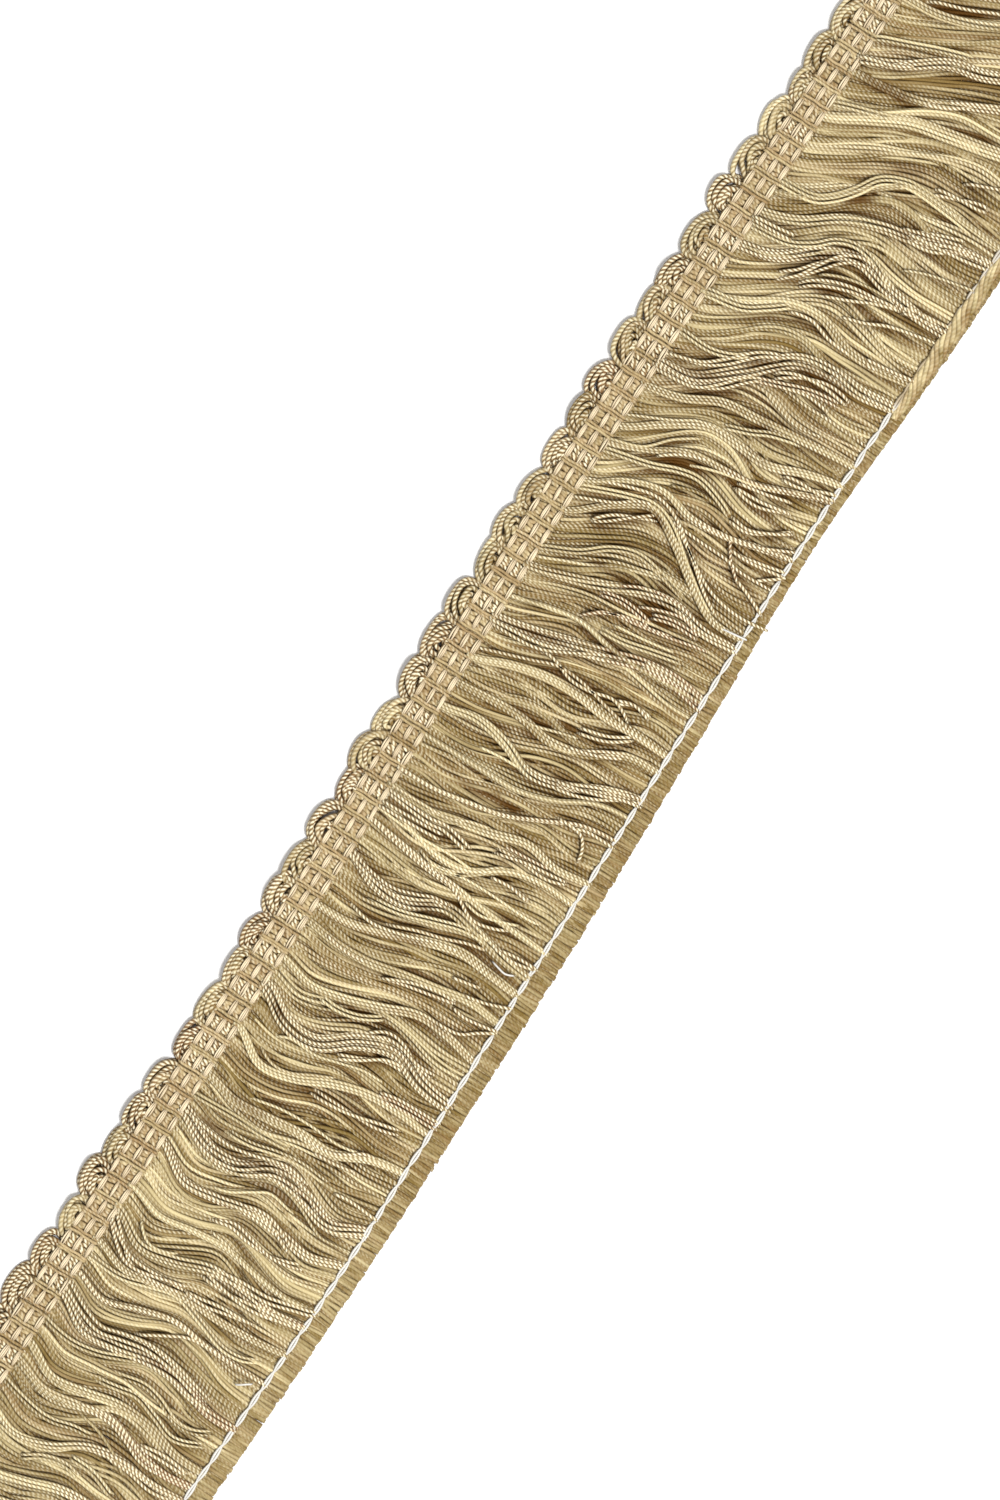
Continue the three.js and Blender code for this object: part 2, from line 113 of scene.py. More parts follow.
# The large locks on top: width, look above and below, and places along the trim at the root and at even
# steps down
TOP_LOCKS = [
    (2.0, "gold", "gold", [-157.0, -159.0, -158.0, -156.0, -156.5, -158.0, -159.0]),
    (1.8, "silver", "cream", [-152.5, -154.4, -153.0, -150.8, -150.4, -152.0, -153.0]),
    (1.6, "silver", "cream", [-144.5, -146.8, -145.4, -141.8, -140.8, -141.4, -141.2]),
    (1.6, "gold", "rust", [-135.6, -137.6, -136.8, -135.6, -137.4, -138.8, -138.4]),
    (1.6, "silver", "gold", [-132.0, -135.0, -134.2, -132.8, -133.0, -134.8, -135.2]),
    (2.2, "cream", "rust", [-121.6, -125.0, -124.6, -123.4, -123.4, -125.4, -125.8]),
    (1.2, "cream", "cream", [-117.0, -118.8, -116.8, -115.2, -115.8, -116.0, -116.2]),
    (1.4, "gold", "gold", [-110.5, -112.4, -111.6, -110.8, -111.0, -110.6, -110.0]),
    (2.2, "gold", "cream", [-104.0, -107.4, -106.4, -104.2, -104.4, -105.0, -104.2]),
    (1.2, "silver", "silver", [-99.5, -101.2, -100.2, -99.6, -100.6, -101.4, -100.8]),
    (2.0, "cream", "cream", [-90.0, -93.7, -93.2, -92.0, -92.4, -93.2, -91.4]),
    (3.2, "cream", "cream", [-83.2, -86.4, -86.8, -83.8, -84.6, -86.6, -84.4]),
    (1.8, "gold", "gold", [-75.8, -77.2, -76.6, -75.8, -75.8, -73.0, -72.0]),
    (1.6, "silver", "silver", [-65.8, -69.4, -68.4, -65.4, -63.6, -63.4, -64.0]),
    (3.4, "cream", "cream", [-57.2, -60.8, -61.0, -56.6, -54.6, -57.0, -58.0]),
    (1.6, "silver", "gold", [-51.5, -53.0, -51.8, -49.6, -47.2, -47.6, -49.0]),
    (1.6, "silver", "silver", [-43.7, -44.4, -44.2, -42.8, -41.6, -40.4, -41.0]),
    (1.8, "gold", "gold", [-40.5, -40.2, -38.2, -35.8, -34.0, -34.4, -35.0]),
    (2.4, "cream", "gold", [-29.6, -32.0, -32.0, -28.8, -29.4, -30.8, -31.5]),
    (1.4, "cream", "silver", [-22.8, -23.8, -24.6, -25.0, -25.6, -25.8, -26.2]),
    (1.4, "silver", "silver", [-19.0, -20.5, -21.9, -21.3, -17.5, -16.2, -16.6]),
    (1.6, "silver", "gold", [-15.8, -16.4, -15.0, -13.6, -11.8, -12.8, -12.0]),
    (0.9, "cream", "cream", [-12.6, -12.4, -11.2, -9.8, -6.9, -3.9, -3.0]),
    (1.0, "silver", "silver", [-5.3, -5.2, -5.1, -4.8, -2.8, 0.6, 1.6]),
    (2.0, "silver", "cream", [0.6, 1.9, 1.0, -1.2, 0.3, 3.4, 5.4]),
    (1.6, "gold", "gold", [5.4, 6.0, 6.3, 5.4, 6.8, 10.4, 11.0]),
    (1.8, "silver", "gold", [10.6, 13.0, 14.6, 15.0, 14.4, 14.6, 14.4]),
    (2.8, "cream", "rust", [18.6, 19.8, 21.6, 23.4, 25.4, 26.2, 25.6]),
    (1.0, "silver", "gold", [23.2, 25.0, 26.0, 25.0, 24.6, 25.0, 25.4]),
    (2.2, "gold", "cream", [29.5, 31.2, 33.4, 36.2, 37.2, 36.0, 36.4]),
    (1.4, "gold", "gold", [41.0, 46.0, 49.4, 46.4, 42.0, 38.5, 38.5]),
    (1.4, "silver", "cream", [47.0, 51.0, 53.0, 51.6, 52.0, 53.6, 55.0]),
    (1.4, "gold", "cream", [55.0, 57.6, 61.0, 61.8, 62.6, 65.0, 67.2]),
    (1.6, "gold", "gold", [58.5, 62.8, 66.6, 66.8, 66.6, 69.0, 70.6]),
    (1.6, "gold", "gold", [67.0, 68.4, 71.6, 72.4, 73.2, 74.0, 74.6]),
    (3.0, "cream", "cream", [71.6, 72.6, 78.0, 84.4, 86.2, 86.0, 87.0]),
    (1.6, "silver", "gold", [86.2, 88.8, 92.6, 93.4, 91.2, 91.0, 92.0]),
    (2.6, "cream", "cream", [96.6, 98.2, 103.0, 105.4, 103.8, 102.8, 102.6]),
    (2.2, "gold", "cream", [103.5, 105.6, 110.0, 112.5, 113.8, 116.2, 117.4]),
    (1.2, "silver", "silver", [107.6, 110.4, 116.2, 121.0, 121.2, 120.8, 120.6]),
    (2.4, "silver", "silver", [123.5, 127.0, 130.4, 132.0, 133.4, 134.8, 135.6]),
    (1.8, "gold", "cream", [132.8, 133.4, 134.8, 138.0, 141.2, 143.5, 144.6]),
    (2.4, "cream", "cream", [135.6, 138.2, 142.6, 144.4, 147.5, 150.6, 151.4]),
    (2.0, "silver", "cream", [148.6, 149.0, 151.0, 154.2, 157.0, 159.0, 160.0]),
    (1.8, "gold", "gold", [156.0, 158.0, 160.8, 163.2, 165.0, 166.4, 166.8]),
]

# Strands that stray from the rest. Each row is the number of yarns, their look and where they go, along
# and across the trim.
STRANDS = [
    (1, "silver", [(-146.0, -1), (-147.3, -5), (-147.2, -9), (-145.8, -13), (-143.0, -16.5), (-141.3, -20)]),
    (2, "silver", [(-150, -8.5), (-147.6, -12), (-146.6, -16), (-147.4, -20)]),
    (2, "silver", [(-145, -16), (-145.2, -21), (-147, -26)]),
    (2, "silver", [(-139.6, -1), (-141.2, -6), (-141.3, -10), (-140.3, -14), (-140, -18)]),
    (1, "silver", [(-137.6, -13), (-138.6, -18), (-140.6, -22.5), (-143, -26)]),
    (2, "cream", [(-141.2, -21), (-141.2, -26), (-142, -31), (-141.6, -35)]),
    (1, "silver", [(-135.7, -1), (-137.6, -4.5), (-137.7, -8.5), (-137.2, -11)]),
    (2, "cream", [(-137.2, -11), (-136, -15), (-135.8, -19), (-137, -23), (-138.6, -27), (-138.9, -32)]),
    (2, "cream", [(-136.8, -25), (-136.4, -30), (-136.8, -35)]),
    (1, "silver", [(-132, -1), (-134.8, -4.5), (-135.7, -7), (-135.2, -11), (-134, -14)]),
    (2, "silver", [(-131.3, -12), (-130.3, -17), (-129.8, -20.5), (-131.2, -25), (-132.6, -29.5),
                   (-131, -35)]),
    (2, "silver", [(-129, -14), (-127.5, -19.5), (-128, -23.5), (-129.8, -28), (-129.8, -31.5),
                   (-128.3, -35)]),
    (2, "silver", [(-127, -1), (-127.9, -5), (-127.2, -10), (-125.7, -14), (-124, -18)]),
    (2, "cream", [(-124.2, -18), (-124, -23), (-125, -28), (-125.6, -34)]),
    (3, "cream", [(-119.3, -1), (-122, -4.5), (-123.1, -8.5), (-122.2, -12.5), (-121.4, -17), (-121.8, -22),
                  (-123, -27), (-124.5, -31.5)]),
    (1, "cream", [(-121, -14), (-118, -19), (-116.2, -23), (-115.9, -30)]),
    (2, "silver", [(-113.6, -1), (-113.8, -6), (-112.5, -11), (-111.3, -15), (-111.4, -18), (-113, -23),
                   (-114.6, -28), (-114.5, -32), (-113.4, -35)]),
    (3, "cream", [(-105.2, -0.5), (-108.4, -3), (-110.4, -6), (-110.8, -9.5), (-110.2, -14), (-109.7, -18)]),
    (2, "cream", [(-109.8, -17), (-109.7, -21), (-109, -25), (-108.3, -31)]),
    (1, "silver", [(-103.4, -4), (-105.9, -6.8), (-106.2, -9.5), (-105, -13)]),
    (2, "cream", [(-105.6, -18), (-106.1, -25), (-105.6, -31), (-104.1, -37)]),
    (2, "cream", [(-104.6, -18), (-103.6, -24), (-103.3, -30), (-102.1, -35), (-101, -38)]),
    (1, "rust", [(-104.7, -28), (-104.6, -32), (-103.7, -36)]),
    (1, "silver", [(-98.5, -15), (-99, -19), (-100.4, -23), (-101.4, -29)]),
    (2, "cream", [(-97, -14), (-95.6, -18), (-96.2, -22), (-96.6, -27), (-95.2, -33)]),
    (2, "cream", [(-91.9, -17), (-91.2, -20.5), (-91.7, -24), (-94.4, -30)]),
    (1, "silver", [(-92, -11), (-91, -14.5), (-88.8, -18), (-87.4, -21), (-88.4, -26)]),
    (1, "silver", [(-84.6, -2), (-88.0, -7.5), (-88.7, -10.5), (-87.9, -13.5), (-86, -17), (-85.3, -21),
                   (-86.5, -26), (-88.3, -30), (-89.2, -33), (-88.5, -36)]),
    (2, "cream", [(-83.0, -3), (-84.1, -9), (-83.5, -14), (-82.4, -18), (-82, -21.5), (-83.2, -26)]),
    (2, "silver", [(-82.3, -8), (-82, -13), (-80.8, -18), (-80.2, -23), (-80.8, -29)]),
    (2, "silver", [(-80, -1), (-79.5, -8), (-79.5, -14), (-79, -20)]),
    (1, "cream", [(-81.4, -30), (-81, -33), (-81.4, -36)]),
    (1, "silver", [(-75.4, -8), (-74, -14), (-73.6, -20), (-73.8, -26), (-72.8, -31)]),
    (1, "cream", [(-75.7, -16), (-76, -21), (-75.7, -25.5), (-74.2, -28.5), (-72.6, -31), (-72.3, -35)]),
    (1, "cream", [(-77.3, -23), (-77, -27), (-76.3, -31)]),
    (1, "silver", [(-66.6, -5), (-68.1, -8.5), (-67.8, -12), (-65.8, -16), (-64, -20)]),
    (2, "cream", [(-68.5, -17), (-68.2, -23), (-67.8, -27), (-67.3, -30), (-66.4, -34)]),
    (2, "rust", [(-63.2, -27), (-62.4, -31), (-62.2, -36)]),
    (1, "cream", [(-62.2, -27), (-61.4, -31), (-61.2, -36)]),
    (1, "silver", [(-64.2, -6), (-62.7, -9), (-62.8, -14), (-61.8, -18), (-60.5, -23), (-60.6, -28)]),
    (2, "cream", [(-61.2, -17), (-59.2, -21), (-57, -25), (-56.6, -29)]),
    (2, "cream", [(-55.6, -19), (-53.2, -22.5), (-53.2, -26), (-54.6, -30), (-55, -34)]),
    (2, "silver", [(-53.6, -9), (-53.9, -13), (-53, -17), (-50.8, -21)]),
    (1, "cream", [(-44, -4), (-44.7, -9), (-44.3, -13)]),
    (2, "cream", [(-45.5, -16), (-43.6, -21), (-42.4, -26), (-41.9, -30)]),
    (1, "cream", [(-46.6, -28), (-46.2, -33), (-44.2, -36), (-42.4, -38)]),
    (1, "cream", [(-42.8, -30), (-43.2, -33), (-42.2, -36.5)]),
    (1, "cream", [(-40.0, -30), (-39.2, -34), (-37.4, -38)]),
    (1, "cream", [(-38.4, -27), (-37.4, -32)]),
    (1, "cream", [(-37.2, -5), (-38, -10), (-36.7, -16), (-34.6, -22), (-33.9, -27)]),
    (1, "cream", [(-37.0, -12), (-35, -17), (-33.5, -22), (-32, -26), (-31.2, -30)]),
    (2, "silver", [(-34.6, -7), (-33.8, -13), (-31.8, -19), (-30.3, -24), (-30.1, -29), (-31, -33)]),
    (2, "cream", [(-29.6, -2), (-31.1, -6), (-31.3, -10), (-30, -14), (-28.6, -17), (-28.3, -21)]),
    (2, "cream", [(-30.2, -30), (-30.0, -34), (-29.4, -37)]),
    (1, "cream", [(-22.5, -1), (-23.5, -8), (-24.5, -14), (-25.5, -19), (-28, -24), (-27.5, -28),
                  (-25.7, -32)]),
    (1, "silver", [(-24.2, -11), (-23.5, -15), (-22.7, -20), (-22.6, -26), (-22.8, -32), (-22.5, -35)]),
    (1, "silver", [(-26, -21), (-26.7, -25), (-25.6, -29), (-24.5, -32)]),
    (2, "silver", [(-22.6, -9), (-23.8, -12.5), (-23.3, -16.5), (-21.3, -20), (-18.8, -22.8), (-17, -25.5)]),
    (1, "silver", [(-20.4, -1), (-20.9, -8), (-20.6, -15), (-20.9, -21)]),
    (2, "cream", [(-19.6, -3), (-19.2, -8), (-18.9, -12)]),
    (2, "cream", [(-17.0, -3), (-17.6, -8), (-17.2, -12), (-18.4, -18)]),
    (2, "cream", [(-20.1, -23), (-19.6, -27), (-20.1, -31)]),
    (2, "cream", [(-15.7, -21), (-14.9, -26), (-14.7, -31), (-13.9, -35)]),
    (1, "rust", [(-14.2, -22), (-13.8, -27), (-13.4, -31)]),
    (2, "silver", [(-16.2, -1), (-16.1, -6), (-15.8, -11), (-14.2, -15), (-13, -20)]),
    (1, "cream", [(-5.5, -30), (-4.3, -33), (-4.2, -36)]),
    (1, "cream", [(-5, -27), (-5, -30), (-5.5, -32.5), (-7.6, -34), (-10, -34.5)]),
    (1, "silver", [(-2, -9), (-1.5, -13), (-1.3, -18)]),
    (3, "cream", [(-0.6, -23), (0.4, -27), (2.0, -31), (4.0, -35), (5.0, -38)]),
    (1, "silver", [(6, -11), (6.3, -15), (7.8, -20), (8.6, -23)]),
    (1, "silver", [(5.3, -18), (5.4, -22), (7.5, -26)]),
    (2, "cream", [(6, -22), (7.9, -26.5), (10.4, -31.5)]),
    (2, "cream", [(9.8, -22), (11.2, -27), (13.7, -31)]),
    (1, "cream", [(12.2, -1), (15.5, -8), (17.3, -13), (17.2, -18), (16.1, -23), (15, -28), (14, -31)]),
    (1, "cream", [(18.2, -8), (17.9, -12), (16.5, -16), (16.6, -20), (17.6, -24), (16.6, -27), (15.2, -29)]),
    (2, "cream", [(17.5, -25), (18.7, -28), (18.2, -31.5)]),
    (2, "cream", [(17.6, -2), (18.2, -7), (19.8, -12), (22, -17), (23.8, -21)]),
    (1, "silver", [(23.3, -1), (25, -7), (25.9, -11), (25.5, -15), (24.5, -19)]),
    (2, "cream", [(25.7, -25), (26.2, -30), (25.9, -35)]),
    (1, "rust", [(25.2, -28), (24.8, -33), (23.9, -37)]),
    (2, "silver", [(26.7, -15), (27, -20), (28.2, -25), (29.6, -31)]),
    (1, "silver", [(28.6, -17), (29.3, -23), (30.3, -29)]),
    (1, "rust", [(26.5, -11), (29, -14), (31, -18.5), (31.5, -23), (32.6, -28)]),
    (1, "rust", [(27.4, -12), (29.8, -15), (30.9, -21), (31.8, -26), (33, -31), (33.6, -34)]),
    (2, "rust", [(32, -12), (32.9, -16), (32.6, -20), (31.8, -23)]),
    (1, "rust", [(33.6, -19), (35.2, -23), (36.1, -27), (34.9, -31)]),
    (2, "rust", [(33.5, -22), (34.6, -26), (34.6, -31)]),
    (1, "rust", [(34, -13), (36.6, -17.5), (37.7, -22), (37.6, -26), (36.8, -30)]),
    (2, "silver", [(33, -1), (36, -5), (39.5, -9.5), (41.2, -14), (40.6, -19), (39.2, -25)]),
    (2, "cream", [(41.8, -4), (45, -8), (48.4, -13.5)]),
    (1, "cream", [(43.4, -2), (46.5, -5.5), (49, -9), (50, -12)]),
    (2, "silver", [(45.6, -1), (48.9, -7), (50.0, -12), (48.5, -16.5), (44.0, -22.5), (40.2, -28),
                   (38.2, -32)]),
    (1, "cream", [(47.3, -1), (50.5, -7), (51.5, -12), (49.9, -16.8), (45.5, -22.8), (41.5, -28),
                  (39.2, -32.4)]),
    (1, "cream", [(49.5, -15), (49, -21), (48.9, -27), (48.3, -31), (48.7, -36)]),
    (1, "cream", [(50.3, -15), (46.5, -21.5), (43.2, -27), (41.9, -31.5), (41.7, -36), (42.4, -40.5)]),
    (1, "cream", [(48.6, -34), (50.4, -36.4), (51.8, -38.6)]),
    (1, "cream", [(51, -17), (52, -24), (52.5, -28), (54, -32), (57, -36)]),
    (2, "cream", [(50.6, -27), (50.8, -31), (52.2, -36)]),
    (1, "rust", [(52.6, -26), (49, -28.5), (46.4, -31.5)]),
    (1, "cream", [(46.8, -31), (45.8, -34), (44, -35.6)]),
    (2, "silver", [(53.5, -1), (55.5, -7), (57.4, -12), (58.1, -16), (57, -20.5), (55.3, -24.5)]),
    (2, "cream", [(55.3, -24), (55, -28), (57, -32), (59.2, -35)]),
    (1, "silver", [(54.3, -12), (56, -17), (55.9, -21)]),
    (1, "silver", [(55.5, -1), (57.5, -4.5), (61.5, -8.5), (64.6, -13)]),
    (1, "cream", [(57.5, -7.5), (60.2, -11.5), (62, -16.5)]),
    (1, "silver", [(59.3, -13), (61.2, -19), (62.5, -25), (64.6, -30), (67, -35)]),
    (2, "cream", [(60.2, -22), (60, -27), (61.7, -33)]),
    (1, "cream", [(61.2, -22), (62.1, -27), (63.4, -32)]),
    (1, "silver", [(60.5, -1), (64, -6), (66.6, -10.5), (67.1, -14.5), (66.6, -20), (66.8, -26)]),
    (2, "cream", [(66.2, -28), (67, -33), (68.3, -36)]),
    (2, "silver", [(68, -14), (69.8, -19), (71.5, -22.5), (73, -28)]),
    (2, "cream", [(70.8, -1), (71.2, -6), (73.4, -10), (77, -13.5), (79, -16.5)]),
    (2, "cream", [(73.6, -1), (75.2, -5), (78, -9), (82, -13), (84.6, -18)]),
    (2, "silver", [(78.4, -1), (78.1, -5), (79.5, -9.5), (81.5, -12)]),
    (2, "rust", [(77.8, -14), (79.6, -19), (81.4, -24), (82.2, -30)]),
    (2, "cream", [(80.3, -17), (82.6, -21), (83.7, -26), (83.2, -31)]),
    (1, "cream", [(79.2, -19), (80.5, -24), (80, -29)]),
    (1, "silver", [(78, -15), (76.3, -20), (75.2, -24), (75.2, -27), (76.1, -31)]),
    (3, "silver", [(86.3, -1), (87.4, -5.5), (89.8, -9.5), (93, -13.5)]),
    (1, "cream", [(91.2, -13), (92.0, -17.5), (90.8, -22), (90.5, -27)]),
    (2, "cream", [(90.9, -29), (91.6, -33), (92.9, -37)]),
    (3, "cream", [(95.3, -8), (97.5, -11), (100.8, -13.5), (103.7, -16), (105.2, -19), (105, -22.5)]),
    (1, "silver", [(96.6, -0.5), (97.3, -4), (99, -7.5), (101.5, -11), (104, -13.5), (106, -17.5)]),
    (2, "cream", [(96, -12), (98.5, -15.5), (100.2, -20), (101.1, -25), (102.1, -30)]),
    (1, "silver", [(99.5, -14), (101.3, -18), (102.3, -23), (102.4, -29)]),
    (1, "cream", [(96.3, -16), (98.4, -21), (100.5, -25.5), (101.9, -30)]),
    (2, "silver", [(100.5, -1), (101, -6), (103.3, -10.5), (106, -13.5), (107.2, -17), (106.6, -21),
                   (104.8, -25), (103.5, -30)]),
    (2, "cream", [(101.6, -1), (102, -4), (102.4, -7)]),
    (1, "cream", [(95.2, -21), (96.6, -25.5), (98.6, -30), (100.8, -35.5)]),
    (2, "cream", [(102.2, -30), (103, -33.5), (103.6, -37)]),
    (3, "cream", [(113, -23), (114, -28), (115.6, -32.5), (117, -38)]),
    (2, "cream", [(114, -22), (116, -27.5), (117.8, -33)]),
    (1, "silver", [(108, -26), (110, -31), (112, -35.5)]),
    (3, "silver", [(109.8, -1), (110, -5.5), (112, -9), (115.5, -12), (119, -14.3), (120.9, -18),
                   (121.3, -21.5), (120.9, -28), (120.5, -35)]),
    (2, "cream", [(122.5, -23), (124, -29), (124.8, -33)]),
    (1, "cream", [(126.6, -27), (128.5, -31.5), (129.6, -34)]),
    (2, "silver", [(126, -3), (129, -9), (131.2, -15), (132.4, -22), (133.4, -28)]),
    (2, "cream", [(134.4, -13), (136.3, -17), (138.5, -20.5), (141, -24.5)]),
    (2, "cream", [(134.8, -1), (137, -5), (139.6, -8.5)]),
    (2, "silver", [(139.5, -1), (142, -6), (144, -11), (146, -17)]),
    (1, "cream", [(150, -4), (152.4, -11), (155, -17), (156, -24)]),
]

# The gaps that the strands leave, where the yarns lie deeper and get painted shade. Each row is how deep the
# gap is and where it goes.
GAPS = [
    (1, [(-145.9, -14), (-145.4, -17), (-146.0, -20)]),
    (1, [(-122.9, -15), (-122.9, -19), (-123.3, -24)]),
    (1, [(-124, -5), (-124.2, -9), (-123.4, -12)]),
    (1, [(-105.1, -20), (-105.1, -25), (-104.7, -29)]),
    (1, [(-93.0, -13), (-93.5, -17), (-94, -21), (-94.9, -25)]),
    (1, [(-93.0, -25), (-93.2, -29)]),
    (1, [(-82.5, -2), (-83.1, -6), (-82.9, -10)]),
    (1, [(-85.6, -9), (-85.2, -14), (-83.4, -18), (-83.0, -23)]),
    (1, [(-76.6, -4), (-76.9, -9), (-76.6, -14)]),
    (1, [(-68.8, -13), (-69, -17), (-69.3, -20)]),
    (1, [(-66.9, -22), (-66.8, -27)]),
    (1, [(-60.0, -18), (-58.1, -23), (-56.9, -27)]),
    (1, [(-59.2, -3), (-60.6, -6)]),
    (1, [(-53.0, -13), (-52.4, -17), (-50.6, -21)]),
    (1, [(-46.8, -28), (-47.2, -31)]),
    (1, [(-38.2, -11), (-37.0, -16), (-35.4, -21)]),
    (1, [(-28.1, -18), (-28.4, -23)]),
    (1, [(-31.6, -14), (-29.8, -18)]),
    (1, [(-33.4, -30), (-33.6, -35)]),
    (1, [(-25.2, -27), (-25.1, -32)]),
    (1, [(-15.9, -21), (-15.9, -25)]),
    (1, [(-8.3, -6), (-8.5, -12), (-8.2, -18), (-8.6, -24)]),
    (1, [(-7.9, -14), (-7.9, -19), (-8.2, -22)]),
    (1, [(-0.2, -22), (0.9, -26)]),
    (1, [(6.7, -9), (7.3, -15), (8.0, -18)]),
    (1, [(9.4, -18), (9.8, -23)]),
    (1, [(16.2, -12), (16.1, -17), (16.6, -21)]),
    (1, [(18.2, -26), (19.2, -30)]),
    (1, [(19.0, -3), (20.0, -8), (21.5, -13)]),
    (1, [(24.3, -18), (24.9, -22)]),
    (2, [(33.1, -16), (33.2, -21), (33.4, -26)]),
    (1, [(34.6, -18), (35.8, -22), (36.2, -26)]),
    (1, [(35.2, -14), (36.6, -17.5)]),
    (1, [(35.4, -8), (36.3, -12), (36.3, -16)]),
    (1, [(41.5, -4), (41.8, -8)]),
    (1, [(42.9, -15), (42.9, -21)]),
    (1, [(47.8, -10), (48.7, -13.5), (46.8, -16)]),
    (2, [(56.5, -6), (58.6, -11), (60, -14.5), (60.8, -18.5)]),
    (1, [(60.8, -21), (60.9, -26)]),
    (1, [(66.5, -19), (66.6, -25)]),
    (1, [(72.0, -19), (72.3, -23)]),
    (1, [(72.9, -2), (73.4, -6), (75.4, -9.5)]),
    (1, [(78.6, -11.6), (81.2, -14.2), (83, -17)]),
    (1, [(81.3, -16), (82, -20), (82.8, -25)]),
    (1, [(83.9, -19), (84.8, -24), (84.4, -30)]),
    (1, [(91.0, -14), (91.2, -18)]),
    (1, [(99.8, -10), (102.6, -13), (104.6, -15.4)]),
    (1, [(99.6, -16), (101.2, -21), (101.9, -26)]),
    (1, [(97.4, -15), (99.4, -20)]),
    (1, [(105.4, -13.5), (106.4, -17), (105.9, -20)]),
    (1, [(113.2, -21), (113.4, -27)]),
    (2, [(112.6, -11.4), (115, -13.6), (117.4, -15)]),
    (1, [(122, -14.5), (123.6, -18), (125, -21)]),
    (2, [(132.9, -1), (133.3, -7), (134, -12)]),
    (1, [(133.8, -18), (134.8, -24), (136, -28)]),
    (1, [(149, -3), (151, -9), (153.5, -15)]),
]

# The loops, from left to right: place along the trim, reach, half width, lean and look
LOOPS = [
    (-158.8, 3.9, 4.3, 0.4, "smooth"), (-150.4, 3.7, 4.2, -0.6, "strong"), (-142.0, 3.9, 4.2, 0.5, "smooth"),
    (-133.4, 3.6, 4.1, 0.3, "strong"), (-125.0, 3.9, 4.2, 0.4, "strong"), (-117.4, 3.5, 3.6, 0.6, "strong"),
    (-109.6, 3.0, 3.4, 0.2, "arc"), (-102.2, 4.1, 3.5, 0.8, "strong"), (-94.8, 3.2, 3.5, 0.5, "smooth"),
    (-87.8, 3.6, 3.6, -0.6, "strong"), (-80.6, 3.5, 3.6, -0.8, "strong"), (-72.6, 2.9, 3.8, 0.6, "rusty"),
    (-64.8, 3.1, 4.0, -0.8, "arc"), (-57.2, 2.7, 3.8, 0.3, "smooth"), (-50.0, 3.3, 3.5, -0.4, "rusty"),
    (-42.4, 3.7, 3.6, 0.2, "strong"), (-35.4, 3.4, 3.9, -0.9, "smooth"), (-28.0, 4.1, 3.9, 0.6, "strong"),
    (-19.8, 2.9, 3.4, 0.6, "rusty"), (-13.0, 4.2, 3.9, -0.6, "smooth"), (-5.6, 3.4, 3.4, -1.2, "arc"),
    (2.2, 4.0, 3.8, 0.9, "strong"), (10.2, 3.9, 4.2, 1.0, "strong"), (18.2, 3.7, 3.9, 0.4, "smooth"),
    (26.0, 3.2, 3.9, 1.2, "arc"), (33.6, 4.3, 4.2, -0.4, "smooth"), (41.2, 3.4, 4.0, -0.6, "smooth"),
    (49.0, 3.4, 3.9, 0.8, "strong"), (56.4, 3.9, 3.9, 0.9, "smooth"), (63.8, 4.2, 3.6, -0.8, "rusty"),
    (71.6, 4.1, 3.9, 0.6, "smooth"), (79.2, 3.6, 3.9, 0.2, "smooth"), (86.6, 3.8, 3.7, -0.8, "strong"),
    (94.6, 3.8, 4.0, -1.0, "smooth"), (102.6, 4.5, 3.4, 0.4, "strong"), (110.4, 3.9, 4.2, -0.4, "arc"),
    (118.2, 3.6, 3.8, 0.8, "arc"), (125.8, 3.1, 3.2, 0.6, "smooth"), (133.0, 3.6, 4.1, -0.2, "smooth"),
    (141.0, 3.6, 4.2, 0.4, "arc"), (148.2, 3.8, 3.9, -0.5, "strong"), (154.6, 3.4, 3.6, 0.5, "smooth"),
    (160.2, 3.7, 3.1, 0.2, "strong"),
]

# Looks of the loops: tone, blush, mark, and how much paler the outermost yarn is
LOOP_LOOKS = {
    "strong": (0.34, 0.3, 1.0, 0.2),
    "smooth": (0.28, 0.1, 0.6, 0.2),
    "arc": (0.28, 0.05, 0.5, 0.4),
    "rusty": (0.22, 0.5, 1.0, 0.2),
}

# Ends of the white thread that lie loose on the yarn, along and across the trim
WHITE_ENDS = [
    [(38.3, -33.4), (38.5, -35), (38.7, -36.5), (39.0, -38.2)],
    [(-32.3, -31.4), (-32.7, -33), (-32.9, -34.4), (-32.4, -35.8)],
    [(-118.8, -33.6), (-118.2, -34.4), (-117.6, -35.2), (-117.2, -36)],
]


NEIGHBOURS = (-1, 0, 1, 2)
FULL_TURN = 2 * np.pi


def curve_between(before, here, there, beyond, t):
    """A smooth curve from here to there, with slopes that follow the values on either side of them."""
    slope_in = (there - before) / 2
    slope_out = (beyond - here) / 2
    rise = there - here
    bend = 3 * rise - 2 * slope_in - slope_out
    turn = slope_in + slope_out - 2 * rise
    return here + t * (slope_in + t * (bend + t * turn))


def smooth_value(values, place):
    """Values at places in an evenly spaced row, on a smooth curve through them. Rows of rows work too."""
    values = np.asarray(values, float)
    last = len(values) - 1
    held = np.clip(np.asarray(place, float), 0, last)
    index = np.minimum(np.floor(held).astype(int), last - 1)
    t = held - index
    if values.ndim > 1:
        t = t[..., None]
    return curve_between(*(values[np.clip(index + k, 0, last)] for k in NEIGHBOURS), t)


def eased(share):
    """From 0 to 1, with no sudden start or stop."""
    share = np.clip(share, 0, 1)
    return share * share * (3 - 2 * share)


def lie_of(line, along):
    return smooth_value(LIE[line], (along - LIE_START) / LIE_STEP)


def heading_low(along):
    return lie_of("heading", along) - HEADING_WIDTH / 2


def heading_high(along):
    return lie_of("heading", along) + HEADING_WIDTH / 2


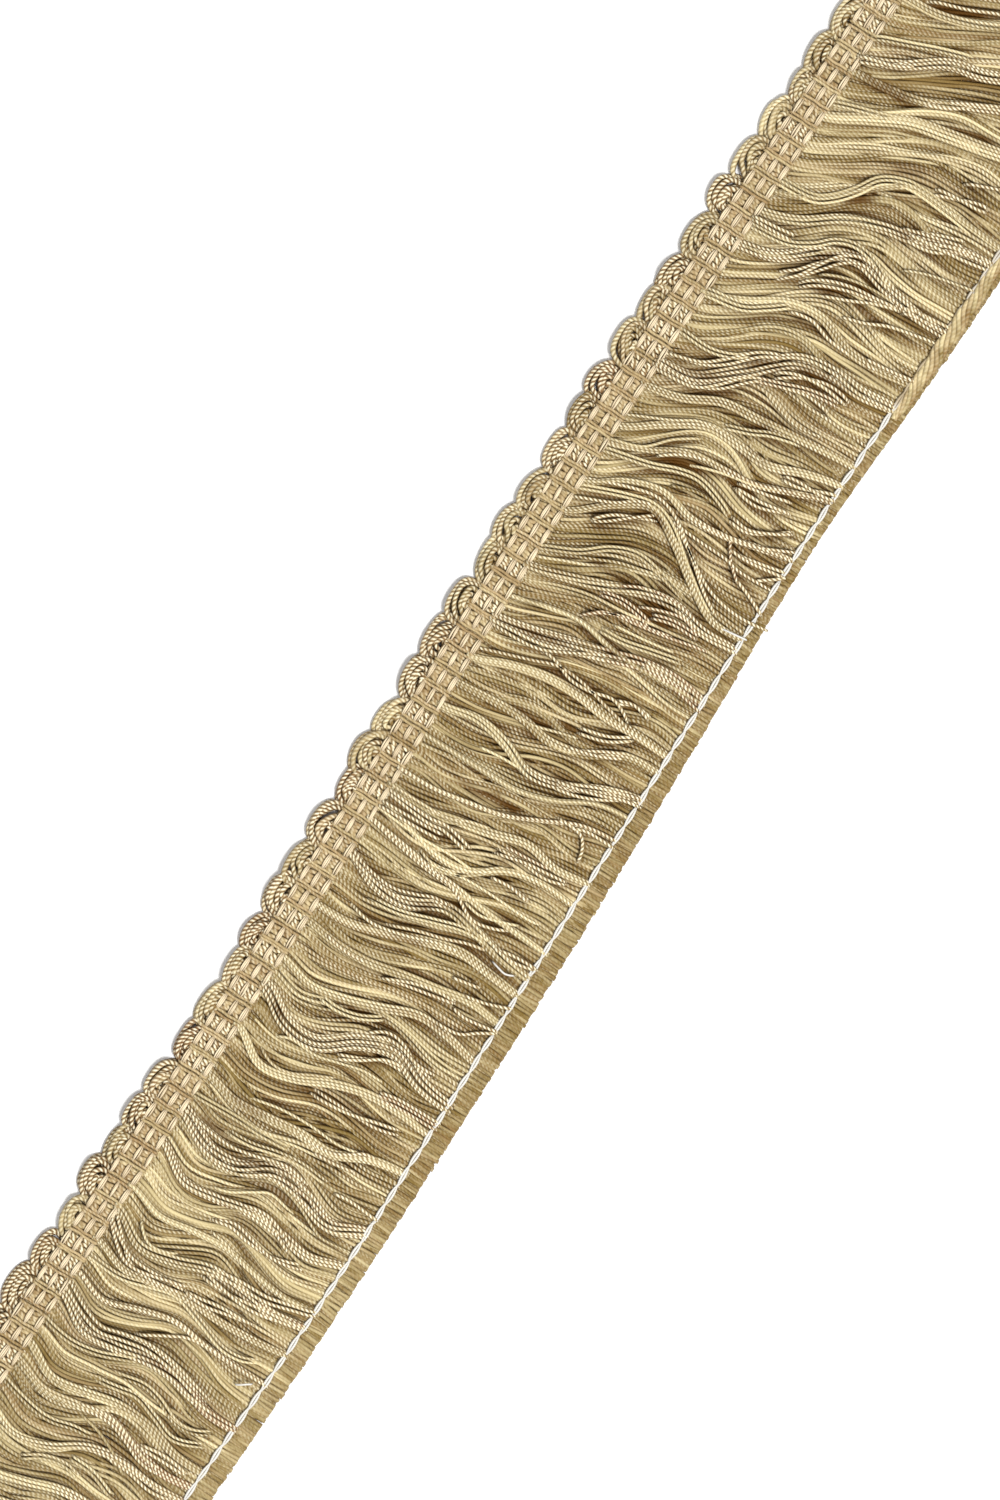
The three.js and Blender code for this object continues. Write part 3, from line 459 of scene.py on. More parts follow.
def past_stitching(down):
    """0 down to the stitching, and 1 at the cut ends."""
    return np.clip((down - 1) / (CUT_ENDS_DOWN - 1), 0, 1)


def across_at(along, down):
    """How far across the trim a point lies, from how far down its yarn it is: 1 is at the stitching."""
    stitch = lie_of("stitch", along)
    low = heading_low(along)
    above = low + (stitch - low) * down
    below = stitch + (lie_of("cut_ends", along) - stitch) * (down - 1) / (CUT_ENDS_DOWN - 1)
    return np.where(down <= 1, above, below)


def free_share(down):
    """0 where a yarn is held, at the heading and the stitching, and 1 halfway between."""
    return np.sin(np.pi * np.clip(down, 0, 1))


def swung_to(root, down):
    """Places along the trim that yarns have swung to. root and down are arrays of one shape."""
    place = np.clip(down, 0, 1) * STEPS_DOWN
    at_roots = smooth_value(SWING, (root - SWING_START) / SWING_STEP)
    index = np.minimum(np.floor(place).astype(int), STEPS_DOWN - 1)

    def at(k):
        return np.take_along_axis(at_roots, np.clip(index + k, 0, STEPS_DOWN)[..., None], -1)[..., 0]

    swing = curve_between(*(at(k) for k in NEIGHBOURS), place - index)
    clump = CLUMP_SWING * np.sin(FULL_TURN * root / CLUMP_LENGTH + CLUMP_TURN * down)
    return root + swing + clump * free_share(down)


def row_shift():
    """From the trim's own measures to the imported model's: its origin is under the middle of its box."""
    low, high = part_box("heading_band")
    picks = np.arange(PICK_COUNT + 1)
    highest = heading_high(-HALF_LENGTH + picks * PICK_PITCH).max()
    return np.array([low.x / MM + HALF_LENGTH, high.y / MM - highest, 0.0])


SHIFT = row_shift()


# Tubes of yarn

LOOK_NAMES = ("tone", "blush", "mark", "shade")
FACING_UP_GAIN = 1.15
SHORTEST = 1e-6


class Yarns:
    """Centre lines in millimetres, all with as many points, and the yarn's looks at each point. No yarn
    lies lower than the surface under it."""

    def __init__(self, lines, radius, *looks):
        self.lines = np.array(lines, float)
        self.radius = self.spread(radius)
        self.lines[..., 2] = np.maximum(self.lines[..., 2], self.radius)
        self.looks = {name: np.clip(self.spread(look), 0, 1) for name, look in zip(LOOK_NAMES, looks)}

    def spread(self, values):
        """One value, or one for each yarn, or one for each point, as one for each point."""
        values = np.asarray(values, float)
        if values.ndim == 1:
            values = values[:, None]
        return np.broadcast_to(values, self.lines.shape[:2])

    def chosen(self, which):
        return Yarns(self.lines[which], self.radius[which], *(look[which] for look in self.looks.values()))

    def changed(self, lines=None, **looks):
        """The same yarns along other lines or with other looks."""
        lines = self.lines if lines is None else lines
        return Yarns(lines, self.radius, *(looks.get(name, self.looks[name]) for name in LOOK_NAMES))


def joined(lots):
    """Several lots of yarns with as many points, as one lot."""
    looks = [np.concatenate([lot.looks[name] for lot in lots]) for name in LOOK_NAMES]
    lines = np.concatenate([lot.lines for lot in lots])
    return Yarns(lines, np.concatenate([lot.radius for lot in lots]), *looks)


def one_yarn(line, radius, looks):
    """A lot of one yarn. radius is a number, and looks has a row for each look."""
    return Yarns(line[None], radius, *(row[None] for row in looks))


def sides_of(line):
    """The level directions at right angles to a line, or to several lines, and the lines' own directions."""
    tangent = np.gradient(line, axis=-2)
    tangent /= np.linalg.norm(tangent, axis=-1, keepdims=True)
    side = np.cross(tangent, [0.0, 0.0, 1.0])
    side /= np.maximum(np.linalg.norm(side, axis=-1, keepdims=True), SHORTEST)
    return side, tangent


def tube_arrays(yarns, sides, chance, edge_shade):
    """Corners, faces and looks of closed tubes round all the yarns at once. Their sides and undersides are
    darker with painted shade.
    """
    lines = yarns.lines
    count, steps, _ = lines.shape
    side, tangent = sides_of(lines)
    top = np.cross(side, tangent)
    angle = FULL_TURN * np.arange(sides) / sides
    ring = np.cos(angle)[:, None] * side[:, :, None, :] + np.sin(angle)[:, None] * top[:, :, None, :]
    corners = lines[:, :, None, :] + yarns.radius[:, :, None, None] * ring

    n, p, k = np.meshgrid(np.arange(count), np.arange(steps - 1), np.arange(sides), indexing="ij")
    around = (k + 1) % sides
    first = (n * steps + p) * sides
    quads = np.stack([first + k, first + sides + k, first + sides + around, first + around], -1)

    gap = np.linalg.norm(np.diff(lines, axis=1), axis=2)
    length = np.concatenate([np.zeros((count, 1)), np.cumsum(gap, axis=1)], axis=1)
    length += chance.uniform(0, TWIST_LENGTH, (count, 1))
    here, there = length[n, p], length[n, p + 1]
    turn, next_turn = k / sides, (k + 1) / sides
    round_face = ((here, turn), (there, turn), (there, next_turn), (here, next_turn))
    uv = np.stack([np.stack(corner, -1) for corner in round_face], -2)

    start = np.arange(count)[:, None] * steps * sides + np.arange(sides)
    end = start + (steps - 1) * sides
    # Painted shade on each tube's sides and underside, by how little it faces up
    facing_up = np.tile(np.clip(FACING_UP_GAIN * np.sin(angle), 0, 1), count * steps)
    looks = {name: np.repeat(values.ravel(), sides) for name, values in yarns.looks.items()}
    looks["shade"] = np.clip(looks["shade"] + edge_shade * (1 - facing_up), 0, 1)
    return {
        "corners": corners.reshape(-1, 3),
        "quads": quads.reshape(-1, 4),
        "uv": uv.reshape(-1, 2),
        "caps": np.concatenate([start, end[:, ::-1]]),
        **looks,
    }


def piece_from(name, lots, sides, material, node, seed, edge_shade):
    """One object of many yarns, on the body, standing for its CAD node."""
    chance = np.random.RandomState(seed)
    parts = [tube_arrays(lot, sides, chance, edge_shade) for lot in lots]
    offsets = np.cumsum([0] + [len(part["corners"]) for part in parts[:-1]])
    corners = (np.concatenate([part["corners"] for part in parts]) + SHIFT) * MM
    quads = np.concatenate([part["quads"] + offset for part, offset in zip(parts, offsets)])
    caps = np.concatenate([part["caps"] + offset for part, offset in zip(parts, offsets)])
    indices = np.concatenate([quads.ravel(), caps.ravel()])
    starts = np.concatenate([np.arange(len(quads)) * 4, quads.size + np.arange(len(caps)) * sides])
    uv = np.concatenate([part["uv"] for part in parts] + [np.zeros((caps.size, 2))])

    mesh = bpy.data.meshes.new(name)
    mesh.vertices.add(len(corners))
    mesh.vertices.foreach_set("co", corners.astype(np.float32).ravel())
    mesh.loops.add(len(indices))
    mesh.loops.foreach_set("vertex_index", indices.astype(np.int32))
    mesh.polygons.add(len(starts))
    mesh.polygons.foreach_set("loop_start", starts.astype(np.int32))
    mesh.update(calc_edges=True)
    layer = mesh.uv_layers.new(name="yarn_turns")
    layer.uv.foreach_set("vector", uv.astype(np.float32).ravel())
    for look in LOOK_NAMES:
        values = np.concatenate([part[look] for part in parts]).astype(np.float32)
        mesh.attributes.new(look, "FLOAT", "POINT").data.foreach_set("value", values)
    mesh.polygons.foreach_set("use_smooth", np.ones(len(starts), bool))
    mesh.materials.append(material)
    piece = bpy.data.objects.new(name, mesh)
    bpy.context.scene.collection.objects.link(piece)
    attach(piece, "root")
    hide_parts(node)


# Finishes

PLY_ROUNDNESS = 0.7
GROOVE_NARROWNESS = 1.3
CREST_NARROWNESS = 3.0
UPPER_SIDE_NARROWNESS = 1.3
PATCHES_PER_MM = 0.55
PATCH_CONTRAST = 1.6
FAINTEST_PATCH = 0.2
FIBRE_STRETCH = 0.2
FIBRES_AROUND = 4.0
FIBRE_DENSITY = 9.0
FIBRE_HEIGHT = 0.25
YARN_GLOSS = 0.15
YARN_GLOSS_TINT = (1.0, 0.82, 0.5, 1)


def new_group(name, inputs, outputs):
    group = bpy.data.node_groups.new(name, "ShaderNodeTree")
    for label, kind, value in inputs:
        socket = group.interface.new_socket(name=label, in_out="INPUT", socket_type=kind)
        socket.default_value = value
    for label, kind in outputs:
        group.interface.new_socket(name=label, in_out="OUTPUT", socket_type=kind)
    return group, group.nodes.new("NodeGroupInput"), group.nodes.new("NodeGroupOutput")


def fed(tree, socket, value):
    """Gives a socket a plain value, or links it to another node's output."""
    if isinstance(value, (int, float, tuple)):
        socket.default_value = value
    else:
        tree.links.new(value, socket)


def maths(tree, operation, *values):
    node = tree.nodes.new("ShaderNodeMath")
    node.operation = operation
    for socket, value in zip(node.inputs, values):
        fed(tree, socket, value)
    return node.outputs[0]


def mixed(tree, share, first, second):
    """The colour between two others. The sockets are the colour mix's own."""
    node = tree.nodes.new("ShaderNodeMix")
    node.data_type = "RGBA"
    for place, value in ((0, share), (6, first), (7, second)):
        fed(tree, node.inputs[place], value)
    return node.outputs[2]


def noise_of(tree, vector, scale, detail):
    noise = tree.nodes.new("ShaderNodeTexNoise")
    noise.inputs["Detail"].default_value = detail
    fed(tree, noise.inputs["Scale"], scale)
    tree.links.new(vector, noise.inputs["Vector"])
    return noise.outputs[0]


def ply_twist_group():
    """Two plies wound round each other. Takes the length along the yarn and the turn around it. The crests
    are marked on the yarn's upper side only, for a painted highlight, and the twist shows more in some
    patches than in others."""
    group, given, made = new_group(
        "ply_twist",
        [
            ("Yarn place", "NodeSocketVector", (0, 0, 0)),
            ("Twist length", "NodeSocketFloat", TWIST_LENGTH),
            ("Mark", "NodeSocketFloat", 1.0),
            ("Fibre density", "NodeSocketFloat", FIBRE_DENSITY),
        ],
        [(label, "NodeSocketFloat") for label in ("Ply height", "Groove", "Crest", "Fibre")],
    )
    split = group.nodes.new("ShaderNodeSeparateXYZ")
    group.links.new(given.outputs["Yarn place"], split.inputs[0])
    along, around = split.outputs["X"], split.outputs["Y"]
    wound = maths(group, "DIVIDE", along, given.outputs["Twist length"])
    phase = maths(group, "ADD", around, wound)
    wave = maths(group, "COSINE", maths(group, "MULTIPLY", phase, FULL_TURN))
    lobe = maths(group, "ABSOLUTE", wave)
    rounded = maths(group, "POWER", lobe, PLY_ROUNDNESS)
    valley = maths(group, "POWER", maths(group, "SUBTRACT", 1.0, lobe), GROOVE_NARROWNESS)
    # Only the upper side of the yarn gets the painted highlight
    upward = maths(group, "SINE", maths(group, "MULTIPLY", around, FULL_TURN))
    upward = maths(group, "POWER", maths(group, "MAXIMUM", upward, 0.0), UPPER_SIDE_NARROWNESS)
    highlight_mask = maths(group, "MULTIPLY", maths(group, "POWER", lobe, CREST_NARROWNESS), upward)
    patches = noise_of(group, given.outputs["Yarn place"], PATCHES_PER_MM, 1.0)
    patchy = maths(group, "ADD", maths(group, "MULTIPLY", patches, PATCH_CONTRAST), FAINTEST_PATCH)
    marked = maths(group, "MINIMUM", maths(group, "MULTIPLY", patchy, given.outputs["Mark"]), 1.0)
    for value, label in ((rounded, "Ply height"), (valley, "Groove"), (highlight_mask, "Crest")):
        group.links.new(maths(group, "MULTIPLY", value, marked), made.inputs[label])

    joint = group.nodes.new("ShaderNodeCombineXYZ")
    group.links.new(maths(group, "MULTIPLY", along, FIBRE_STRETCH), joint.inputs[0])
    group.links.new(maths(group, "MULTIPLY", phase, FIBRES_AROUND), joint.inputs[1])
    fibre = noise_of(group, joint.outputs[0], given.outputs["Fibre density"], 2.0)
    group.links.new(fibre, made.inputs["Fibre"])
    return group


COLOUR_INPUTS = ("Deep", "Pale", "Blushed", "Groove shade colour", "Highlight colour", "Shade colour")
AMOUNT_INPUTS = ("Tone", "Blush", "Shade", "Groove", "Crest", "Fibre")
STRENGTH_INPUTS = ("Groove shade strength", "Highlight gain", "Fibre contrast")


def yarn_colour_group():
    """A yarn's colour: from deep to pale by its tone, blushed, with painted shade in its grooves, a painted
    highlight on its ply crests and painted shade where its shade attribute says.
    """
    plain_inputs = [(label, "NodeSocketFloat", 0.5) for label in AMOUNT_INPUTS + STRENGTH_INPUTS]
    colour_inputs = [(label, "NodeSocketColor", (0.5, 0.5, 0.5, 1)) for label in COLOUR_INPUTS]
    inputs = plain_inputs + colour_inputs
    group, given, made = new_group("yarn_colour", inputs, [("Colour", "NodeSocketColor")])
    value = given.outputs
    flecked = maths(group, "SUBTRACT", value["Fibre"], 0.5)
    tone = maths(group, "ADD", value["Tone"], maths(group, "MULTIPLY", flecked, value["Fibre contrast"]))
    tone = maths(group, "MINIMUM", maths(group, "MAXIMUM", tone, 0.0), 1.0)
    lift = maths(group, "MULTIPLY", value["Crest"], value["Highlight gain"])
    groove_shade = maths(group, "MULTIPLY", value["Groove"], value["Groove shade strength"])
    colour = mixed(group, tone, value["Deep"], value["Pale"])
    colour = mixed(group, value["Blush"], colour, value["Blushed"])
    # A painted highlight on the ply crests of the yarn's upper side
    colour = mixed(group, lift, colour, value["Highlight colour"])
    # Painted shade in the grooves between the plies
    colour = mixed(group, groove_shade, colour, value["Groove shade colour"])
    # Painted shade, as much as the yarn's shade attribute gives
    colour = mixed(group, value["Shade"], colour, value["Shade colour"])
    group.links.new(colour, made.inputs["Colour"])
    return group


PLY_TWIST = ply_twist_group()
YARN_COLOUR = yarn_colour_group()


def yarn_finish(name, colours, twist, bump, roughness, *strengths):
    """A spun yarn or thread. colours gives its deep, pale and blushed colours and its painted groove shade,
    painted highlight and painted shade colours, and strengths its groove shade strength, highlight gain and
    fibre contrast. Its bump is in millimetres."""
    material = bpy.data.materials.new(name)
    material.use_nodes = True
    tree = material.node_tree
    shader = tree.nodes["Principled BSDF"]
    place = tree.nodes.new("ShaderNodeUVMap")
    place.uv_map = "yarn_turns"
    ply = tree.nodes.new("ShaderNodeGroup")
    ply.node_tree = PLY_TWIST
    tree.links.new(place.outputs[0], ply.inputs["Yarn place"])
    ply.inputs["Twist length"].default_value = twist
    paint = tree.nodes.new("ShaderNodeGroup")
    paint.node_tree = YARN_COLOUR
    targets = (paint.inputs["Tone"], paint.inputs["Blush"], ply.inputs["Mark"], paint.inputs["Shade"])
    for look, socket in zip(LOOK_NAMES, targets):
        read = tree.nodes.new("ShaderNodeAttribute")
        read.attribute_name = look
        tree.links.new(read.outputs["Fac"], socket)
    for label in ("Groove", "Crest", "Fibre"):
        tree.links.new(ply.outputs[label], paint.inputs[label])
    for label, colour in zip(COLOUR_INPUTS, colours):
        paint.inputs[label].default_value = (*colour, 1)
    for label, strength in zip(STRENGTH_INPUTS, strengths):
        paint.inputs[label].default_value = strength
    tree.links.new(paint.outputs["Colour"], shader.inputs["Base Color"])
    raised = tree.nodes.new("ShaderNodeBump")
    raised.inputs["Strength"].default_value = 1.0
    raised.inputs["Distance"].default_value = bump * MM
    fibre = maths(tree, "MULTIPLY", ply.outputs["Fibre"], FIBRE_HEIGHT)
    tree.links.new(maths(tree, "ADD", ply.outputs["Ply height"], fibre), raised.inputs["Height"])
    tree.links.new(raised.outputs[0], shader.inputs["Normal"])
    shader.inputs["Roughness"].default_value = roughness
    shader.inputs["Specular IOR Level"].default_value = YARN_GLOSS
    shader.inputs["Specular Tint"].default_value = YARN_GLOSS_TINT
    return material


OLIVE = (0.176, 0.113, 0.025)
CREAM = (0.775, 0.655, 0.37)
RUST_TAN = (0.34, 0.18, 0.09)
GROOVE_SHADE_BROWN = (0.20, 0.088, 0.022)
HIGHLIGHT_CREAM = (1.0, 0.925, 0.68)
SHADE_BROWN = (0.092, 0.038, 0.006)
# Each finish's colours: deep, pale, blushed, painted shade in the grooves, painted highlight and painted
# shade
FRINGE_COLOURS = (OLIVE, CREAM, RUST_TAN, GROOVE_SHADE_BROWN, HIGHLIGHT_CREAM, SHADE_BROWN)
WARP_SHADES = ((0.30, 0.21, 0.10), (0.84, 0.71, 0.49), (0.56, 0.40, 0.25), (0.14, 0.085, 0.04))
WARP_COLOURS = (*WARP_SHADES, HIGHLIGHT_CREAM, SHADE_BROWN)
WHITE_SHADES = ((0.56, 0.53, 0.45), (0.70, 0.69, 0.65), (0.36, 0.27, 0.14), (0.42, 0.37, 0.30))
WHITE_COLOURS = (*WHITE_SHADES, (0.84, 0.84, 0.82), (0.25, 0.19, 0.12))

FRINGE_YARN = yarn_finish("fringe_yarn", FRINGE_COLOURS, TWIST_LENGTH, 0.2, 0.42, 0.6, 1.0, 0.9)
LOOP_YARN = yarn_finish("loop_yarn", FRINGE_COLOURS, TWIST_LENGTH, 0.24, 0.42, 0.85, 1.0, 0.9)
WARP_THREAD = yarn_finish("warp_thread", WARP_COLOURS, 0.9, 0.03, 0.36, 0.2, 0.2, 0.5)
WHITE_THREAD = yarn_finish("white_thread", WHITE_COLOURS, 0.8, 0.05, 0.5, 0.2, 0.3, 0.3)


# Depth: a grid over the trim that tells how deep each yarn lies under what is around it, for painted shade

CELL = 0.4
GRID_LOW = np.array([-180.0, -48.0])
GRID_SHAPE = (900, 160)
POINTS_BETWEEN = 4
GAP_POINTS = 40
GAP_STRENGTH = 1.6
GAP_GAIN = 1.6
DEPTH_POWER = 1.3
DEEP_LOSS_OF_TONE = 0.3
BAND_REACH = 1.2
BAND_EVENNESS = 0.6
BAND_TONE = 0.08
BAND_FLECKS = 0.16
BAND_SHADE = 0.12
PALE_FROM = -60
PALE_REACH = 50
PALE_GAIN = 0.09
PALE_LOSS_OF_SHADE = 0.4


def cells(points):
    place = np.floor((points[..., :2] - GRID_LOW) / CELL).astype(int)
    return tuple(np.clip(place[..., axis], 1, GRID_SHAPE[axis] - 2) for axis in (0, 1))


def with_neighbours(grid, reach, combine):
    """Each square's own value and its neighbours', up to reach squares away, made into one."""
    steps = range(-reach, reach + 1)
    return combine([np.roll(grid, (i, j), (0, 1)) for i in steps for j in steps], axis=0)


def surface_around(lots):
    """How high the surface lies over each small square of the trim, evened out over its surroundings."""
    top = np.zeros(GRID_SHAPE)
    for lot in lots:
        for part in range(POINTS_BETWEEN):
            share = part / POINTS_BETWEEN
            points = lot.lines[:, :-1] * (1 - share) + lot.lines[:, 1:] * share
            np.maximum.at(top, cells(points), points[..., 2])
    return with_neighbours(with_neighbours(top, 1, np.max), 2, np.mean)


def gaps_between():
    """Where the gaps with painted shade lie: 1 along their middles, fading to both sides."""
    depth = np.zeros(GRID_SHAPE)
    for weight, path in GAPS:
        share = np.linspace(0, 1, GAP_POINTS * len(path))
        points = smooth_value(path, share * (len(path) - 1))
        strength = GAP_STRENGTH * weight * np.sin(np.pi * np.clip(share, 0.08, 0.92))
        np.maximum.at(depth, cells(points), strength)
    depth = with_neighbours(with_neighbours(depth, 1, np.mean), 1, np.mean)
    return np.clip(depth * GAP_GAIN, 0, 1)


def sunk_in_gaps(lot, gaps, sink, strength):
    """Yarns that pass a gap between locks lie deeper there, with painted shade."""
    there = gaps[cells(lot.lines)]
    lines = lot.lines.copy()
    lines[..., 2] -= sink * there
    return lot.changed(lines, shade=lot.looks["shade"] + strength * there)


def shade_by_depth(lot, surface, full_depth, strength):
    """Paint shade on the yarns where they lie deeper than what is around them, where less light reaches.
    Past the stitching they are more alike, in one flecked tone."""
    depth = np.clip((surface[cells(lot.lines)] - lot.lines[..., 2]) / full_depth, 0, 1)
    along, across = lot.lines[..., 0], lot.lines[..., 1]
    past = eased((lie_of("stitch", along) - across) / BAND_REACH)
    even = 1 - BAND_EVENNESS * past
    flecks = np.sin(5.3 * along + 1.1 * across) * np.sin(1.7 * along - 2.3 * across)
    tone = lot.looks["tone"] - DEEP_LOSS_OF_TONE * depth * (1 - past)
    return lot.changed(
        tone=tone * even + (BAND_TONE + BAND_FLECKS * flecks) * past,
        mark=lot.looks["mark"] * even,
        shade=lot.looks["shade"] + strength * depth ** DEPTH_POWER * (1 - past) + BAND_SHADE * past,
    )


def paler_to_the_left(lot):
    """The trim's left end is a little paler than the rest, with less painted shade between its yarns."""
    share = eased((PALE_FROM - lot.lines[..., 0]) / PALE_REACH)
    shade = lot.looks["shade"] * (1 - PALE_LOSS_OF_SHADE * share)
    return lot.changed(tone=lot.looks["tone"] + PALE_GAIN * share, shade=shade)


# The skirt

ROOT_DOWN = -0.03
END_UNEVENNESS = 0.003
END_SLANT = 0.2
BUNCHING = 0.4
BUNCHED_DOWN_TO = 0.14
DRIFT_WAVES = ((1.3, 1.0), (2.7, 0.6), (5.1, 0.25))
BACK_RADIUS = 0.45
BACK_PITCH = YARN_PITCH * 0.7
BACK_STEPS = 19
BACK_DRIFT = 0.08

# Heights of the back yarns at the root, belly, stitching and cut end
BACK_HEIGHTS = (0.8, 0.4, 0.38, 0.4)


def heights(down, root, belly, stitch, end):
    """Height of a yarn's centre from its root, over its belly, under the stitching to its cut end."""
    to_belly = (root + 2 * belly) / 3
    to_stitch = (2 * belly + stitch) / 3
    rows = np.stack([root, to_belly, belly, belly, belly, to_stitch, stitch], -1)
    place = np.clip(down, 0, 1) * STEPS_DOWN
    above = np.stack([smooth_value(row, p) for row, p in zip(rows, place)])
    return above + (end - stitch)[:, None] * past_stitching(down)


def waves_along(down, chance, size):
    """A small slow drift of each yarn about its own line."""
    drift = np.zeros_like(down)
    for waves, share in DRIFT_WAVES:
        phase = chance.uniform(0, FULL_TURN, (len(down), 1))
        drift += share * size * np.sin(FULL_TURN * waves * down + phase)
    return drift


def downs(count, steps, chance):
    """How far down each point of each yarn is. The cut ends are a little uneven."""
    ends = CUT_ENDS_DOWN + chance.normal(0, END_UNEVENNESS, (count, 1))
    return ROOT_DOWN + np.linspace(0, 1, steps)[None, :] * (ends - ROOT_DOWN)


def swung_yarns(root, down, chance, drift):
    """Places along the trim: the yarns leave the heading in bunches and their cut ends slant a little."""
    to_bunch = np.sin(np.pi * (root + HALF_LENGTH) / PICK_PITCH)
    bunched = -BUNCHING * to_bunch * np.clip(1 - down / BUNCHED_DOWN_TO, 0, 1)
    slant = chance.normal(0, END_SLANT, (len(down), 1)) * past_stitching(down)
    wander = waves_along(down, chance, drift) * np.clip(down * STEPS_DOWN, 0, 1)
    return swung_to(root, down) + bunched + slant + wander


def back_layer(chance):
    """Even yarns next to the surface, which also make the skirt's back."""
    root = np.arange(-HALF_LENGTH + YARN_RADIUS, HALF_LENGTH - YARN_RADIUS, BACK_PITCH)
    count = len(root)
    root = root + chance.normal(0, 0.06, count)
    down = downs(count, BACK_STEPS, chance)
    along = swung_yarns(np.repeat(root[:, None], down.shape[1], 1), down, chance, BACK_DRIFT)
    at_root, at_belly, at_stitch, at_end = (np.full(count, height) for height in BACK_HEIGHTS)
    height = heights(down, at_root, at_belly + chance.uniform(0, 0.12, count), at_stitch, at_end)
    lines = np.stack([along, across_at(along, down), height], -1)
    tone = chance.uniform(0.1, 0.4, count)
    return Yarns(lines, BACK_RADIUS, tone, chance.uniform(0, 0.2, count), chance.uniform(0.3, 0.6, count), 0)


# The two layers of ribbons. own_swing is how far a ribbon drifts along the trim, and pinch how much it
# narrows on its way.
LOW_RIBBONS = {
    "widths": (2.0, 4.2), "kept": 1.0, "floor": 0.7, "bulge": 0.8, "own_swing": 0.8, "pinch": 0.35,
    "steps": 29, "stitch_height": 0.6, "pale": 0.10, "marked": (0.12, 0.36),
}
HIGH_RIBBONS = {
    "widths": (1.7, 3.6), "kept": 0.7, "floor": 1.05, "bulge": 0.9, "own_swing": 1.7, "pinch": 0.5,
    "steps": 31, "stitch_height": 0.85, "pale": 0.16, "marked": (0.18, 0.55),
}
SILVER_RIBBONS = 0.35
SILVER_PALER = 0.15
SILVER_MARKED = (0.2, 0.4)
RIBBON_ROOT_HEIGHT = 1.25
RIBBON_PINCHES = 1.4
BRIGHT_YARNS = 0.2
BRIGHT_GAIN = 0.45
RIBBON_CREST_LIGHT = 0.22


def ribbons(chance, layer):
    """Each yarn's values by name: its place in its ribbon, and what the ribbon's yarns share."""
    rows = []
    start = -HALF_LENGTH
    while start < HALF_LENGTH - YARN_PITCH:
        width = min(chance.uniform(*layer["widths"]), HALF_LENGTH - start)
        number = max(2, int(round(width / YARN_PITCH)))
        silver = chance.rand() < SILVER_RIBBONS
        shared = {
            "centre": start + width / 2,
            "half": width / 2,
            "swing": chance.uniform(0.4, 1.0) * layer["own_swing"],
            "waves": chance.uniform(0.7, 1.5),
            "phase": chance.uniform(0, 1),
            "nip": chance.uniform(0, 1),
            "low": layer["floor"] + chance.uniform(0, 0.4),
            "rise": layer["bulge"] * chance.uniform(0.5, 1.2),
            "tone": layer["pale"] + chance.uniform(-0.2, 0.2) + (SILVER_PALER if silver else 0),
            "blush": 0.0 if silver else chance.uniform(0, 0.32) ** 1.5,
            "mark": chance.uniform(*(SILVER_MARKED if silver else layer["marked"])),
        }
        if chance.rand() < layer["kept"]:
            for place in np.linspace(-1, 1, number) * (1 - 0.5 / number):
                rows.append({"place": place, **shared})
        start += width
    return {name: np.array([row[name] for row in rows]) for name in rows[0]}


def ribbon_layer(chance, layer):
    """Rounded ribbons of yarns side by side, each with a drift of its own. Their crests get painted light
    and their sides painted shade.
    """
    yarn = ribbons(chance, layer)
    column = {name: values[:, None] for name, values in yarn.items()}
    count = len(yarn["place"])
    down = downs(count, layer["steps"], chance)
    free = free_share(down)
    nipped = 0.5 + 0.5 * np.sin(FULL_TURN * (RIBBON_PINCHES * down * column["waves"] + column["nip"]))
    squeeze = 1 - layer["pinch"] * free * nipped
    root = column["centre"] + column["place"] * column["half"] * squeeze
    own = column["swing"] * np.sin(FULL_TURN * (down * column["waves"] + column["phase"]))
    along = swung_yarns(root, down, chance, 0.12) + own * free
    crest = (1 - column["place"] ** 2) * (1 + 0.6 * (1 - squeeze))
    belly = yarn["low"] + chance.normal(0, 0.09, count)
    ends = chance.uniform(0.4, 1.1, count)
    stitch = np.full(count, layer["stitch_height"])
    height = heights(down, np.full(count, RIBBON_ROOT_HEIGHT), belly, stitch, ends)
    height = height + column["rise"] * crest * free
    lines = np.stack([along, across_at(along, down), height], -1)
    slow = waves_along(down, chance, 0.12)
    bright = BRIGHT_GAIN * (chance.uniform(0, 1, (count, 1)) < BRIGHT_YARNS)
    bright = bright + chance.normal(0, 0.12, (count, 1))
    # Painted light on each ribbon's crest and painted shade on its sides
    tone = column["tone"] + RIBBON_CREST_LIGHT * (crest - 0.5) * free + slow + bright
    mark = (yarn["mark"] + chance.normal(0, 0.1, count))[:, None] * np.where(down > 1, 0.5, 1)
    radius = YARN_RADIUS * (1 + chance.normal(0, 0.08, count))
    return Yarns(lines, radius, tone, yarn["blush"] + chance.normal(0, 0.06, count), mark, 0)


# Locks and strands. The spreads and heights are for each look.
LOCK_STEPS = 36
LOCK_ROOT_HEIGHT = 1.5
LOCK_RISE = 0.95
LOCK_DIP = 0.6
LOCK_DIP_FROM = 0.86
LOCK_TALLNESS = 0.34
LOOK_TURNS_FROM = 0.42
LOOK_TURNS_OVER = 0.16
LOOK_SPREAD = {"cream": 0.12, "silver": 0.2, "rust": 0.12, "gold": 0.16}
ROOTED = -3.5
STITCHED = -35
STITCHED_REACH = 4
STRAND_HEIGHTS = {"cream": 2.75, "silver": 2.62, "rust": 2.6}
STRAND_RADII = {"cream": 0.95, "silver": 0.8, "rust": 0.85}
STRAND_DIVE = 0.14
STITCH_DIP = 0.65
STITCH_DIP_FROM = -29
STITCH_DIP_REACH = 7
UNDER_HEADING = 0.8
UNDER_STITCH = 0.6
